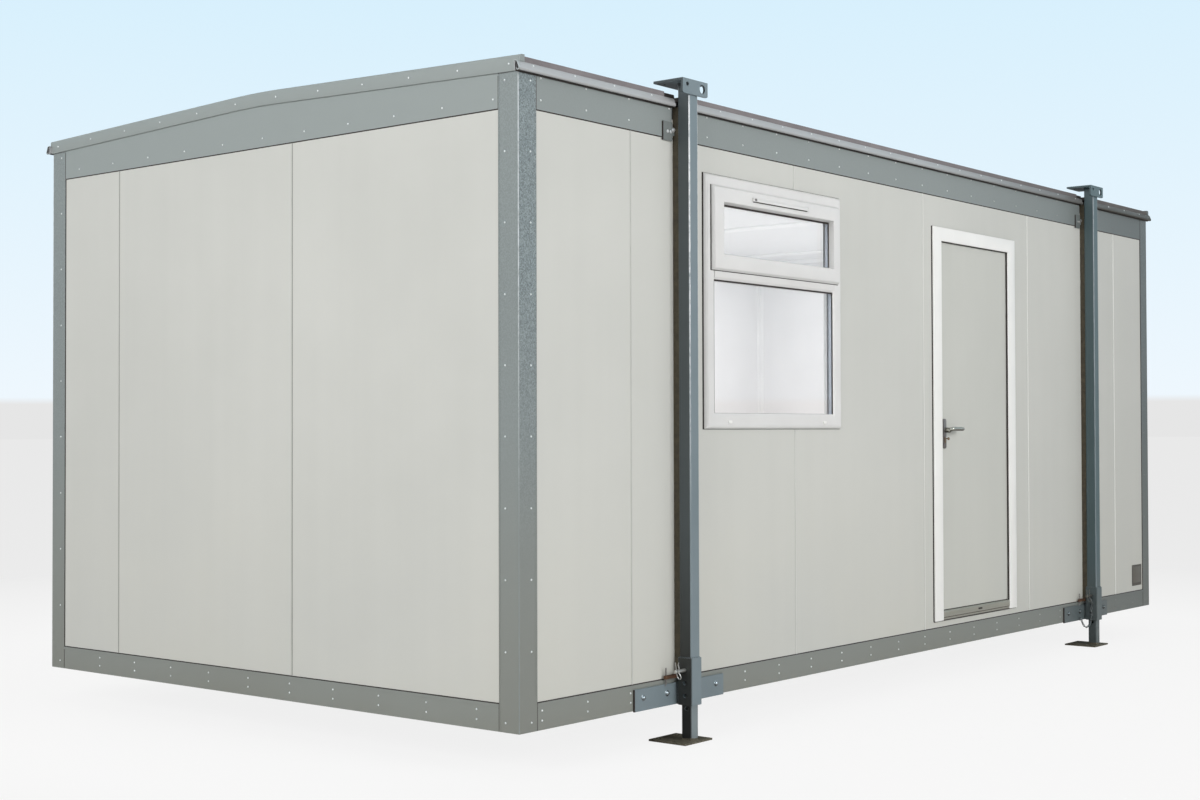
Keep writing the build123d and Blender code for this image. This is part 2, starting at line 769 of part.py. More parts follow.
with BuildPart() as sleeve:
    tube(sleeve_size, sleeve_wall, post_corner, sleeve_bottom, sleeve_bottom + sleeve_height)
    block(-packer_width / 2, packer_width / 2, -sleeve_back, -bracket_thickness,
          bracket_bottom, bracket_top)
    block(-bracket_width / 2, bracket_width / 2, -bracket_thickness, 0,
          bracket_bottom, bracket_top)
    for z in pin_holes:
        pin_hole(z, sleeve_size + overcut)
with BuildPart() as leg_sleeves:
    at_the_legs(sleeve.part)
save(leg_sleeves, "leg_sleeves")

with BuildPart() as foot:
    tube(inner_size, inner_wall, post_corner, foot_thickness, inner_top)
    block(-foot_plate / 2, foot_plate / 2, -foot_front, -foot_front + foot_plate,
          0, foot_thickness)
    for z in [*pin_holes, pin_holes[-1] - hole_pitch]:
        pin_hole(z, inner_size + overcut)
    rear_row = foot_plate - foot_front - foot_hole_back
    with Locations((0, rear_row - foot_hole_y / 2, foot_thickness / 2)):
        with GridLocations(foot_hole_x, foot_hole_y, 2, 2):
            Cylinder(foot_hole_radius, foot_thickness, mode=Mode.SUBTRACT)
with BuildPart() as jack_feet:
    at_the_legs(foot.part)
save(jack_feet, "jack_feet")

with BuildPart() as pin:
    with Locations(Location((0, -post_centre, pin_top), (0, 90, 0))):
        with Locations((0, 0, (pin_right - pin_left) / 2)):
            Cylinder(pin_radius, pin_left + pin_right)
        with Locations((0, 0, pin_right + pin_head / 2)):
            Cylinder(pin_head_radius, pin_head)
with BuildPart() as lock_pins:
    at_the_legs(pin.part)
save(lock_pins, "lock_pins")

with BuildPart() as keeper:
    block(-keeper_left, -packer_width / 2, -sleeve_back, -sleeve_back + keeper_size,
          keeper_bottom, keeper_bottom + keeper_height)
with BuildPart() as keeper_bars:
    at_the_legs(keeper.part)
save(keeper_bars, "keeper_bars")

with BuildPart() as packer:
    sleeve_top = sleeve_bottom + sleeve_height
    block(-packer_width / 2, packer_width / 2, -sleeve_back, skin,
          trim_bottom + skirt_height, sleeve_top)
    block(-packer_width / 2, packer_width / 2, -post_standoff, skin,
          sleeve_top, eaves_beam_top)
with BuildPart() as leg_packers:
    at_the_legs(packer.part)
save(leg_packers, "leg_packers")

with BuildPart() as tabs:
    tab_bottom = trim_bottom + fascia_bottom - tab_below_fascia
    tab_middle = tab_bottom + tab_height / 2
    for side in (-1, 1):
        inner_edge = side * tab_inner
        outer_edge = side * (tab_inner + tab_width)
        block(min(inner_edge, outer_edge), max(inner_edge, outer_edge), -tab_thickness, 0,
              tab_bottom, tab_bottom + tab_height)
        tongue_end = side * packer_width / 2
        block(min(inner_edge, tongue_end), max(inner_edge, tongue_end), -tab_thickness, 0,
              tab_middle - tab_width / 4, tab_middle + tab_width / 4)
with BuildPart() as clamp_tabs:
    at_the_legs(tabs.part)
save(clamp_tabs, "clamp_tabs")

with BuildPart() as lug:
    front = -post_standoff - post_size
    block(-lug_half, lug_half, front - lug_thickness, front, lug_top - lug_drop, lug_top)
    corners = lug.edges().filter_by(Axis.Y).group_by(Axis.Z)[0]
    fillet(corners, radius=lug_corner)
    block(-lug_half, lug_half, front - lug_thickness, lug_back, post_top, lug_top)
    through_hole(eye_x, lug_top - eye_drop, eye_radius, front - lug_thickness - overcut,
                 front + overcut)
    through_hole(small_hole_x, lug_top - small_hole_drop, small_hole_radius,
                 front - lug_thickness - overcut, front + overcut)
    with Locations((small_hole_x, top_hole_in, lug_top - lug_thickness / 2)):
        Cylinder(top_hole_radius, lug_thickness, mode=Mode.SUBTRACT)
with BuildPart() as lifting_brackets:
    at_the_legs(lug.part)
save(lifting_brackets, "lifting_brackets")
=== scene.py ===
# %% [markdown]
# # Dressing a portable site cabin
# The cabin is a steel-framed room of insulated panels that stands on four jack legs. Its
# construction is already drawn and packed, so every size below comes from that frame.
# This lesson adds what a drawing leaves out: coatings, rivets, bolts, mouldings, seals, a
# chain, and the light that shows them. It could all be done by hand in the viewport, but
# a script can be rerun, and it keeps every rivet at its true pitch.

# %% Load the frame
import math
import random

import bmesh
import bpy
from mathutils import Matrix, Vector


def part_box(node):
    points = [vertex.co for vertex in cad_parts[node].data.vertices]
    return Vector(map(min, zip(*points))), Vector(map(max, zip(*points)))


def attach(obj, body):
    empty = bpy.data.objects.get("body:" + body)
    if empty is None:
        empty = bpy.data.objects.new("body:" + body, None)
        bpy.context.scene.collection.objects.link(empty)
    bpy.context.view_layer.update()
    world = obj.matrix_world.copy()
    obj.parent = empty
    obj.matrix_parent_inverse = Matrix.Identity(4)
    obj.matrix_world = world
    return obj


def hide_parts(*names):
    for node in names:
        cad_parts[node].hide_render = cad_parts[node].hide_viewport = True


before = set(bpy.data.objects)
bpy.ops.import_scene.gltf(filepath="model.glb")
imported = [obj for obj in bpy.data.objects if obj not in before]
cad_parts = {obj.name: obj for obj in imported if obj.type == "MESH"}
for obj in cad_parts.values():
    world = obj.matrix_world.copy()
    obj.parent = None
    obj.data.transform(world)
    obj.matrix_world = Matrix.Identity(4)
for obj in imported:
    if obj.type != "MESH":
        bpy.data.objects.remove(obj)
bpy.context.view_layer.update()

# %% [markdown]
# ## Writing shaders as sums
# A finish is mostly arithmetic on noise: scale it, add it, clip it. Wired by hand that is
# a page of Math nodes. Here one small class wraps a socket and overloads the operators,
# so that `1 - dirt * 0.3` adds the nodes itself. Colours never pass through Math nodes,
# which would turn them grey; they go through Mix nodes instead.

# %% A socket that can be used in sums
def sums(operation):
    """The plain and the reflected method for one kind of Math node."""
    def plain(self, other):
        return self.recipe.maths(operation, self, other)

    def reflected(self, other):
        return self.recipe.maths(operation, other, self)

    return plain, reflected


class Signal:
    """An output socket of a material, with the operators that a sum needs."""

    __add__, __radd__ = sums("ADD")
    __sub__, __rsub__ = sums("SUBTRACT")
    __mul__, __rmul__ = sums("MULTIPLY")
    __pow__, __rpow__ = sums("POWER")

    def __init__(self, recipe, socket):
        self.recipe, self.socket = recipe, socket

    def over(self, low, high):
        """0 below low, 1 above high, and a straight run between them."""
        return self.recipe.node("ShaderNodeMapRange", {"clamp": True},
                                {"Value": self, "From Min": low, "From Max": high})


print("a Signal knows + - * ** and over()")

# %% [markdown]
# ## Adding nodes
# A material is a tree of nodes, and adding a node always takes the same steps: make it,
# choose its settings, then fill or link its sockets. One method does that for every kind
# of node. Clicking them together in the shader editor works for one finish, but not for
# thirty-odd that share their steps. X runs right along the cabin's front, Y to its rear,
# and Z up.

# %% The recipe
class Recipe:
    """A tree of nodes under construction, with one way of adding to it."""

    def __init__(self, owner, output, coordinates):
        owner.use_nodes = True
        self.owner, self.tree = owner, owner.node_tree
        self.tree.nodes.clear()
        self.output = self.add(output)
        self.place = self.node("ShaderNodeTexCoord", output=coordinates)

    def feed(self, socket, value):
        """Links a signal to a socket, or sets a plain value on it."""
        if isinstance(value, Signal):
            self.tree.links.new(value.socket, socket)
        else:
            socket.default_value = (*value[:3], 1.0) if socket.type == "RGBA" else value

    def add(self, kind, settings=None, inputs=None):
        """Adds a node: its settings first, then the values or links of its sockets."""
        node = self.tree.nodes.new(kind)
        for key, value in (settings or {}).items():
            if key == "stops":
                ramp = node.color_ramp.elements
                while len(ramp) < len(value):
                    ramp.new(0.5)
                for element, (position, colour) in zip(ramp, value):
                    element.position, element.color = position, (*colour, 1.0)
            else:
                setattr(node, key, value)
        for key, value in (inputs or {}).items():
            self.feed(node.inputs[key], value)
        return node

    def node(self, kind, settings=None, inputs=None, output=0):
        """Adds a node and hands back one of its outputs as a signal."""
        return Signal(self, self.add(kind, settings, inputs).outputs[output])

    def maths(self, operation, first, second=0.0):
        """One Math node."""
        return self.node("ShaderNodeMath", {"operation": operation}, {0: first, 1: second})

    def axis(self, letter, vector=None):
        """One side of a vector, or else of the place in metres: Z is height above ground."""
        return self.node("ShaderNodeSeparateXYZ", {}, {0: vector or self.place}, letter)

    def blend(self, mask, first, second):
        """The first colour where the mask is 0, the second where it is 1."""
        return self.node("ShaderNodeMix", {"data_type": "RGBA"}, {0: mask, 6: first, 7: second}, 2)


print("a Recipe adds nodes through add() and node()")

# %% [markdown]
# ## What finishes have in common
# Every finish starts from noise and ends in a Principled shader, so those steps are kept
# in one place, and each finish below reads as a short list of what its surface does. The
# noise hangs on object coordinates. The meshes carry no UVs to paint on, and object
# coordinates stay with a door when it swings.

# %% The finish
class Finish(Recipe):
    """The recipe of a material."""

    def __init__(self, name):
        super().__init__(bpy.data.materials.new(name), "ShaderNodeOutputMaterial", "Object")
        self.surface = self.node("ShaderNodeBsdfPrincipled")
        self.shader = self.surface.socket.node
        self.feed(self.output.inputs[0], self.surface)

    def stretched(self, sides):
        """The object's coordinates, multiplied side by side."""
        return self.node("ShaderNodeVectorMath", {"operation": "MULTIPLY"},
                         {0: self.place, 1: sides})

    def noise(self, scale, detail=2.0, rough=0.5, sides=(1, 1, 1), seed=0.0):
        """Cloudy noise from 0 to 1; scale is in blobs to the metre."""
        return self.node("ShaderNodeTexNoise", {"noise_dimensions": "4D"},
                         {"Vector": self.stretched(sides), "Scale": scale, "Detail": detail,
                          "Roughness": rough, "W": seed}, "Fac")

    def cells(self, scale, sides=(1, 1, 1)):
        """A random grey for each crystal-like cell."""
        colour = self.node("ShaderNodeTexVoronoi", {},
                           {"Vector": self.stretched(sides), "Scale": scale}, "Color")
        return self.node("ShaderNodeSeparateColor", {}, {"Color": colour}, "Red")

    def facing(self, letter):
        """How far a face looks along one axis, from -1 to 1."""
        return self.axis(letter, self.node("ShaderNodeNewGeometry", output="Normal"))

    def facing_ends(self):
        """1 on faces that look left or right, and 0 on faces that look to front or back."""
        return self.maths("ABSOLUTE", self.facing("X"))

    def relief(self, height, depth, strength=1.0):
        """Bumps of the given depth in metres, fed to the shader's normal."""
        normal = self.node("ShaderNodeBump", {}, {"Height": height, "Distance": depth,
                                                   "Strength": strength}, "Normal")
        self.feed(self.shader.inputs["Normal"], normal)

    def paint(self, **sockets):
        """Sets or links the shader's sockets; an underscore stands for a space."""
        for name, value in sockets.items():
            self.feed(self.shader.inputs[name.replace("_", " ")], value)
        return self.owner


def tint(colour, share):
    """A colour times one share, or times a share for each of red, green and blue."""
    shares = share if isinstance(share, tuple) else (share,) * 3
    return tuple(part * s for part, s in zip(colour, shares))


print("a Finish starts from noise() and ends with paint()")

# %% [markdown]
# ## The camera
# The cabin is seen from near its front left corner, at about eye height. Its own corners
# were used to work out where such a camera stands, so the perspective is the real one. A
# camera could be aimed by eye instead, but then no two edges would converge alike.

# %% Place the camera
scene = bpy.context.scene
camera = bpy.data.objects.new("camera", bpy.data.cameras.new("camera"))
scene.collection.objects.link(camera)
camera.data.sensor_width, camera.data.lens = 36.0, 51.79
camera.location = (-7.872, -5.846, 1.293)
look_turn, look_up, look_roll = -0.8866, 0.0181, -0.0028
camera.rotation_mode = "QUATERNION"
camera.rotation_quaternion = (
    Matrix.Rotation(look_turn, 3, "Z")
    @ Matrix.Rotation(math.pi / 2 + look_up, 3, "X")
    @ Matrix.Rotation(look_roll, 3, "Z")
).to_quaternion()
scene.camera = camera
print("camera stands", round(camera.location.xy.length, 2), "m from the cabin's middle")

# %% [markdown]
# ## Lamps
# The cabin stands on a plain pale floor under soft light. One broad lamp lights each side
# of it: the front and the left end most, the rear and the right end less. Two lamps
# inside brighten the room and its ceiling, and don't show in glass or metal. Sun lamps
# would be quicker, but their hard shadows don't suit a soft sky.

# %% Soft lamps
scene.view_settings.view_transform = "Standard"
ceiling_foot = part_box("ceiling")[0].z
indoor_lamps = ("room_lamp", "ceiling_lamp")
for name, place, aim, sides, watts in (
        ("front_lamp", (-1.6, -11.5, 5.0), (-0.9, -1.5, 1.3), (5.0, 5.0), 655),
        ("end_lamp", (-12.2, -1.5, 6.2), (-3.0, 0.0, 1.7), (8.0, 5.0), 762),
        ("rear_lamp", (0.9, 11.5, 5.0), (0.5, 1.5, 1.3), (5.0, 5.0), 440),
        ("far_lamp", (12.6, 1.5, 6.0), (3.0, 0.0, 1.6), (6.0, 5.0), 330),
        ("room_lamp", (0.2, 0.0, ceiling_foot - 0.05), (0.2, 0.0, 0.0), (5.0, 2.2), 35),
        ("ceiling_lamp", (0.2, 0.0, 1.0), (0.2, 0.0, 2.6), (5.0, 2.2), 41)):
    lamp = bpy.data.objects.new(name, bpy.data.lights.new(name, "AREA"))
    lamp.data.shape = "RECTANGLE"
    lamp.data.size, lamp.data.size_y = sides
    lamp.data.energy = watts
    lamp.location = place
    lamp.rotation_euler = (Vector(aim) - Vector(place)).to_track_quat("-Z", "Y").to_euler()
    lamp.visible_camera = False
    lamp.visible_glossy = lamp.visible_transmission = name not in indoor_lamps
    scene.collection.objects.link(lamp)
    print(name, "has", watts, "W")

# %% [markdown]
# ## Sky
# The world has two sides: a plain grey that lights the object, and a pale blue that only
# the camera, gloss and glass see. A picture of a real sky would light the cabin unevenly
# and put clouds on every pane, so a ramp from horizon to zenith is enough.

# %% Two-sided sky
sky = Recipe(bpy.data.worlds.new("sky"), "ShaderNodeOutputWorld", "Generated")
scene.world = sky.owner
seen_tone = sky.node("ShaderNodeValToRGB", {"stops": [
    (0.0176, (0.79, 0.79, 0.79)), (0.0177, (0.858, 0.933, 0.991)),
    (0.24, (0.687, 0.871, 0.982))]}, {"Fac": sky.axis("Z")})
seen = sky.node("ShaderNodeLightPath", output="Is Camera Ray")
for ray in ("Is Transmission Ray", "Is Glossy Ray"):
    seen = sky.maths("MAXIMUM", seen, sky.node("ShaderNodeLightPath", output=ray))
seen_sky, fill_sky = [
    sky.node("ShaderNodeBackground", {}, {"Color": colour, "Strength": strength})
    for colour, strength in ((seen_tone, 1.0), ((1.0, 0.985, 0.94), 0.235))]
sky.feed(sky.output.inputs[0],
         sky.node("ShaderNodeMixShader", {}, {0: seen, 1: fill_sky, 2: seen_sky}))
print("sky nodes:", len(sky.tree.nodes))

# %% [markdown]
# ## Floor
# The floor takes the cabin's shadow, but most of its brightness is its own, so that it
# stays pale without throwing more light on the cabin. Its glow fades slowly with
# distance, and far out it takes no lamplight, or the edge of a lamp's pool would show.

# %% Pale floor
floor_half = 300.0
floor_recipe = Finish("floor_finish")
eye = floor_recipe.node("ShaderNodeLightPath", output="Is Camera Ray")
distance = floor_recipe.node("ShaderNodeVectorMath", {"operation": "LENGTH"},
                             {0: floor_recipe.place}, "Value")
black, middling, bright = (0.0, 0.0, 0.0), (0.815, 0.815, 0.815), (0.855, 0.855, 0.855)
floor_tone = floor_recipe.blend(distance.over(4.0, 8.0), (0.09, 0.09, 0.09), black)
glow = floor_recipe.blend((distance ** -1.0).over(0.01, 0.24), middling, bright)
floor_recipe.paint(Base_Color=floor_recipe.blend(eye, (0.80, 0.80, 0.80), floor_tone),
                   Emission_Color=floor_recipe.blend(eye, black, glow),
                   Emission_Strength=1.0, Roughness=0.9, Specular_IOR_Level=0.0)
floor_mesh = bpy.data.meshes.new("floor")
floor_mesh.from_pydata([(x * floor_half, y * floor_half, 0)
                        for x, y in ((-1, -1), (1, -1), (1, 1), (-1, 1))], [], [(0, 1, 2, 3)])
floor = bpy.data.objects.new("floor", floor_mesh)
floor.data.materials.append(floor_recipe.owner)
scene.collection.objects.link(floor)
print("floor:", 2 * floor_half, "m across")

# %% [markdown]
# ## Coated wall panels
# The wall panels have steel skins with a warm grey plastic coating. It is satin, with a
# very fine grain that breaks up reflections, faint clouding from handling, and a trace of
# dust near the foot. An image of a real panel would show this too, but noise has no
# seams, and it keeps its scale on a wall of any length.

# %% Panel coating
def coated_sheet(name, colour, dust=0.5, seed=0.0):
    """A satin plastic coating on flat steel sheet."""
    recipe = Finish(name)
    clouds = recipe.noise(1.1, 3.0, 0.55, seed=seed)
    runs = recipe.noise(1.0, 2.0, 0.5, (9.0, 9.0, 0.35), seed + 3.0)
    grain = recipe.noise(900.0, 2.0, 0.6)
    ripple = recipe.noise(3.0, 1.0, 0.4, seed=seed + 7.0)
    foot = 1 - recipe.axis("Z").over(0.25, 1.3)
    tone = recipe.blend(clouds.over(0.3, 0.7) * 0.6 + runs * 0.4,
                        tint(colour, (0.93, 0.935, 0.93)), tint(colour, 1.05))
    dirt = foot * clouds.over(0.35, 0.75) * dust
    recipe.relief(grain * 0.15 + ripple, 0.0009, 0.35)
    return recipe.paint(Base_Color=recipe.blend(dirt, tone, tint(colour, (0.93, 0.91, 0.83))),
                        Roughness=0.42 + clouds * 0.12, Specular_IOR_Level=0.4)


panel_finish = coated_sheet("panel_finish", (0.600, 0.604, 0.573))
leaf_finish = coated_sheet("leaf_finish", (0.580, 0.586, 0.550), 0.35, 11.0)
# Painted highlight: the joint lips are pale over most of the cabin, and painted dark as shade at
# the left end.
recipe = Finish("lip_finish")
lip_highlight_tone = (0.24, 0.24, 0.22)
for start, end, colour in ((-3.05, -2.3, (0.55, 0.555, 0.53)), (-2.3, 1.2, (0.92, 0.925, 0.90))):
    lip_highlight_tone = recipe.blend(recipe.axis("X").over(start, end), lip_highlight_tone, colour)
lip_finish = recipe.paint(Base_Color=lip_highlight_tone, Roughness=0.45)
print("coatings:", panel_finish.name, leaf_finish.name, lip_finish.name)

# %% [markdown]
# ## Trim, skirt and corner steel
# The skirts, fascias and verges are folded from steel sheet in a blue-grey coating. The
# corner trims carry the same grey as a thin coat over zinc, and the zinc's crystals show
# through as a fine mottling, most of it high up on the long sides, where rain has thinned
# the coat. Faces that look to the ends are a lighter grey, most of all high up. Towards the
# right-hand end the colour is painted darker, as painted shade. One recipe makes all three
# finishes, because they differ only in how dark and how worn they are.

# %% Trim finishes
# Painted shade: the second grey is the darker colour painted towards the right-hand end.
trim_grey, right_shade_grey = (0.256, 0.284, 0.279), (0.10, 0.115, 0.115)
dust_tone = (0.212, 0.214, 0.184)


def trim_sheet(name, colour, mottle, seed, dust_top=0.55):
    """Blue-grey coated sheet; mottle is how far the zinc shows through, most of it high up."""
    recipe = Finish(name)
    clouds = recipe.noise(1.6, 3.0, 0.5, seed=seed)
    streaks = recipe.noise(230.0, 4.0, 0.7, (1.0, 1.0, 0.7), seed)
    specks = recipe.noise(420.0, 2.0, 0.6)
    foot = 1 - recipe.axis("Z").over(0.16, dust_top)
    worn = (1 - recipe.facing_ends() * 0.72) * recipe.axis("Z").over(0.7, 1.9) * mottle
    zinc = (recipe.cells(260.0, (1.0, 1.0, 0.8)) * 0.4 + streaks * 0.6).over(0.30, 0.70)
    pattern = recipe.blend(zinc, tint(colour, (0.50, 0.55, 0.61)),
                           tint(colour, (1.30, 1.40, 1.46)))
    # Faces that look to the ends are made lighter, most of all high up.
    ends_lighter = recipe.facing_ends() * (recipe.axis("Z").over(1.7, 2.3) * 0.35 + 0.5)
    tone = recipe.blend(clouds, tint(colour, 0.96), tint(colour, 1.03))
    tone = recipe.blend(ends_lighter, tone, tint(colour, 1.2))
    tone = recipe.blend(worn, tone, pattern)
    # Painted shade: towards the right-hand end the colour goes over to a darker grey.
    along = recipe.axis("X")
    right_shade = along.over(0.2, 3.2) * 0.50 + along.over(1.6, 2.5) * 0.32
    tone = recipe.blend(right_shade, tone, right_shade_grey)
    recipe.relief(clouds + specks * 0.1 + zinc * (0.1 * mottle), 0.0008, 0.3)
    dust = foot * (0.45 + clouds * 0.5) * (1 - right_shade * 0.75)
    return recipe.paint(Base_Color=recipe.blend(dust, tone, dust_tone),
                        Roughness=0.42 + clouds * 0.12 - zinc * (0.10 * mottle),
                        Specular_IOR_Level=0.42)


corner_grey = tint(trim_grey, 0.86)
trim_finish = trim_sheet("trim_finish", trim_grey, 0.04, 2.0)
corner_finish = trim_sheet("corner_finish", corner_grey, 0.90, 5.0, 1.3)
tab_finish = trim_sheet("tab_finish", tint(trim_grey, 0.66), 0.05, 9.0)
print("trims:", trim_finish.name, corner_finish.name, tab_finish.name)

# %% [markdown]
# ## Leg paint
# The legs are heavy tube in a glossier, darker blue-grey paint. It is brushed on over
# rough steel, so it has a slight orange-peel skin. The foot plates have lost most of
# their paint and show brown, oily rust. The two right legs take darker, bluer greys, and
# the flanks are darker than the faces, most of all low down; both are painted shade. One
# recipe makes all of it, with the wear as a number.

# %% Paint on legs and feet
foot_plate_top = 0.010


def leg_paint(name, wear, flank_shade, greys):
    """Gloss paint in two greys; wear is the share of rust at the foot, and the number after it how
    much painted shade darkens the flanks.
    """
    recipe = Finish(name)
    clouds = recipe.noise(7.0, 3.0, 0.5)
    peel = recipe.noise(240.0, 2.0, 0.5)
    flakes = recipe.noise(26.0, 6.0, 0.68, seed=4.0)
    rust_mask = recipe.noise(90.0, 4.0, 0.7, seed=9.0).over(0.3, 0.7)
    height, right = recipe.axis("Z"), recipe.axis("X").over(-0.5, 0.5)
    low = 1 - height.over(foot_plate_top, foot_plate_top + 0.012)
    bare = (flakes + low * wear).over(0.71, 0.77)
    # Painted shade: the two right legs take darker, bluer greys.
    right_legs_shaded = recipe.blend(clouds, *[tint(grey, (0.43, 0.55, 0.55)) for grey in greys])
    splash = 1 - height.over(0.24, 0.50)
    right_legs_shaded = recipe.blend(splash * 0.6, right_legs_shaded, (0.130, 0.140, 0.140))
    coat = recipe.blend(right, recipe.blend(clouds, *greys), right_legs_shaded)
    # Painted shade: faces that look to the ends are darkened, fully low down and less on the right
    # legs.
    flank_shade_share = 1 - height.over(0.35, 0.9) * (1 - flank_shade)
    coat = recipe.blend(recipe.facing_ends() * flank_shade_share * (1 - right * 0.6), coat,
                        tint((0.023, 0.025, 0.024), 1 - wear))
    rust = recipe.blend(rust_mask, (0.046, 0.041, 0.028), (0.165, 0.146, 0.104))
    recipe.relief(peel * 0.25 + flakes * 0.5 + bare * -0.6, 0.0006, 0.5)
    return recipe.paint(Base_Color=recipe.blend(bare, coat, rust),
                        Roughness=0.30 + clouds * 0.10 + bare * 0.34, Specular_IOR_Level=0.4)


leg_finish = leg_paint("leg_finish", 0.0, 0.78, [(0.158, 0.202, 0.225), (0.196, 0.244, 0.268)])
foot_finish = leg_paint("foot_finish", 0.62, 0.97, [(0.172, 0.208, 0.222), (0.212, 0.250, 0.264)])
print("leg paints:", leg_finish.name, foot_finish.name)

# %% [markdown]
# ## Edge highlights and dark steel
# The corner trims' bends and the posts' arrises carry a painted highlight: a bright line
# towards the top, broken up by noise and fainter towards the right-hand end. The keeper
# bars, the packers and the underframe are dark all over. Rust is two browns in patches
# with finer pits.

# %% Edge highlights and rusted finishes
def edge_highlight(name, coat, bright, low, high):
    """An arris with a painted highlight, plain at its foot and bright towards its top."""
    recipe = Finish(name)
    highlight_breakup = recipe.noise(60.0, 4.0, 0.7, (1.0, 1.0, 0.5))
    # Painted highlight: bright towards the top, broken up by noise, fainter to the right.
    share = recipe.axis("Z").over(low, high) * highlight_breakup.over(0.30, 0.55)
    share = share * (1 - recipe.axis("X").over(-0.5, 0.5) * 0.85)
    recipe.relief(highlight_breakup, 0.0004, 0.4)
    return recipe.paint(Base_Color=recipe.blend(share, coat, bright), Roughness=0.40,
                        Specular_IOR_Level=0.5)


def rusted(name, dark, warm, rough):
    """Steel that is brown all over, in two tones."""
    recipe = Finish(name)
    patches, pits = recipe.noise(38.0, 6.0, 0.65), recipe.noise(310.0, 3.0, 0.7)
    recipe.relief(patches + pits * 0.4, 0.0008, 0.6)
    return recipe.paint(Base_Color=recipe.blend(patches.over(0.3, 0.7), dark, warm),
                        Roughness=rough + pits * 0.15, Metallic=0.25)


corner_edge = edge_highlight("corner_edge", corner_grey, (0.50, 0.54, 0.56), 0.9, 2.0)
leg_edge = edge_highlight("leg_edge", (0.17, 0.21, 0.23), (0.70, 0.72, 0.74), 0.9, 2.2)
rust_finish = rusted("rust_finish", (0.050, 0.026, 0.016), (0.165, 0.078, 0.040), 0.60)
packer_finish = rusted("packer_finish", (0.036, 0.029, 0.018), (0.078, 0.063, 0.038), 0.55)
underframe_finish = rusted("underframe_finish", (0.045, 0.048, 0.050), (0.075, 0.078, 0.078), 0.55)
print("edges and dark steels: 5")

# %% [markdown]
# ## Bright metal
# The gutter strips are plain mill-finish metal: pale, slightly streaked along their
# length, and not quite clean. The pins, bolts and the door furniture are brighter. All of
# them are metallic, so their look comes from what they reflect, and their roughness
# matters more than their colour. Several also carry painted shade: darker towards the
# right-hand end, and darker on faces that look down.

# %% Bright metals
even, along_front = (1, 1, 1), (0.06, 1.0, 1.0)


def bright_metal(name, colour, rough, sides=even, fleck=0.16, metal=0.85, shade_to_right=0.0, underside_shade=0.0):
    """Plain metal, streaked along sides; the last two numbers are painted shade, towards the right
    and on its undersides.
    """
    recipe = Finish(name)
    streaks = recipe.noise(120.0, 4.0, 0.65, sides)
    stains = recipe.noise(5.0, 4.0, 0.6, seed=6.0)
    tone = recipe.blend((streaks * 0.5 + stains * 0.5).over(0.3, 0.7),
                        tint(colour, 1 - 2 * fleck), colour)
    # Painted shade: darker towards the right-hand end.
    tone = recipe.blend(recipe.axis("X").over(0.0, 2.4) * shade_to_right, tone,
                        tint(colour, (0.12, 0.107, 0.082)))
    # Painted shade: darker on faces that look down.
    shaded_underside = (recipe.facing("Z") * -1.0).over(0.0, 1.0)
    tone = recipe.blend(shaded_underside * underside_shade, tone, (0.012, 0.011, 0.007))
    recipe.relief(streaks, 0.0003, 0.25)
    return recipe.paint(Base_Color=tone, Roughness=rough + stains * 0.16, Metallic=metal)


# Painted shade: the gutter strips darken strongly towards the right-hand end.
gutter_finish = bright_metal("gutter_finish", (0.465, 0.47, 0.475), 0.46, along_front, 0.05, 0.3,
                             0.95)
spacer_finish = bright_metal("spacer_finish", (0.62, 0.67, 0.76), 0.45, even, 0.05, 0.4)
pin_finish = bright_metal("pin_finish", (0.62, 0.61, 0.58), 0.26, even, 0.10, shade_to_right=0.9, underside_shade=0.6)
rivet_finish = bright_metal("rivet_finish", (0.84, 0.85, 0.85), 0.28, even, 0.05, 0.7, 0.75)
screw_finish = bright_metal("screw_finish", (0.84, 0.84, 0.82), 0.28, even, 0.05, 0.7, 0.25)
bolt_finish = bright_metal("bolt_finish", (0.36, 0.40, 0.42), 0.17, even, 0.08, 0.8, 0.8, 0.9)
chain_steel = bright_metal("chain_steel", (0.20, 0.21, 0.21), 0.40, fleck=0.20)
furniture_finish = bright_metal("furniture_finish", (0.27, 0.245, 0.235), 0.30, (1, 1, 0.2))
lock_brass = bright_metal("lock_brass", (0.36, 0.26, 0.18), 0.30)
lever_steel = bright_metal("lever_steel", (0.40, 0.39, 0.34), 0.18, fleck=0.06, underside_shade=0.95)
strip_finish = bright_metal("strip_finish", (0.46, 0.435, 0.37), 0.42, along_front, 0.12)
print("bright metals: 11")

# %% [markdown]
# ## White plastic and lining
# The window and the door frame are white plastic sections, and the room is lined with
# white board. New plastic has a soft sheen and almost no texture, but a perfectly flat
# white looks like paper, so a faint clouding and a broad ripple are added.

# %% Whites
def smooth_white(name, colour, rough, seed):
    """White moulded plastic or painted board, with a faint unevenness."""
    recipe = Finish(name)
    clouds = recipe.noise(6.0, 3.0, 0.5, seed=seed)
    ripple = recipe.noise(14.0, 1.0, 0.4, seed=seed)
    recipe.relief(ripple + recipe.noise(800.0, 2.0, 0.6) * 0.08, 0.0004, 0.3)
    tone = recipe.blend(clouds.over(0.25, 0.75), tint(colour, 0.94), colour)
    return recipe.paint(Base_Color=tone, Roughness=rough + clouds * 0.1)


window_white = smooth_white("window_white", (0.745, 0.742, 0.735), 0.28, 1.0)
door_white = smooth_white("door_white", (0.90, 0.90, 0.88), 0.30, 3.0)
lining_white = smooth_white("lining_white", (0.86, 0.855, 0.86), 0.45, 8.0)
board_white = smooth_white("board_white", (0.93, 0.93, 0.93), 0.35, 14.0)
print("whites:", window_white.name, door_white.name, lining_white.name, board_white.name)

# %% [markdown]
# ## Glass
# The panes are plain float glass, a little grey. Real refraction gives them their gloss
# and lets the room show through. A shadow would treat such glass as solid, which keeps
# the lamps out of the room, so for shadow rays alone it is nearly clear.

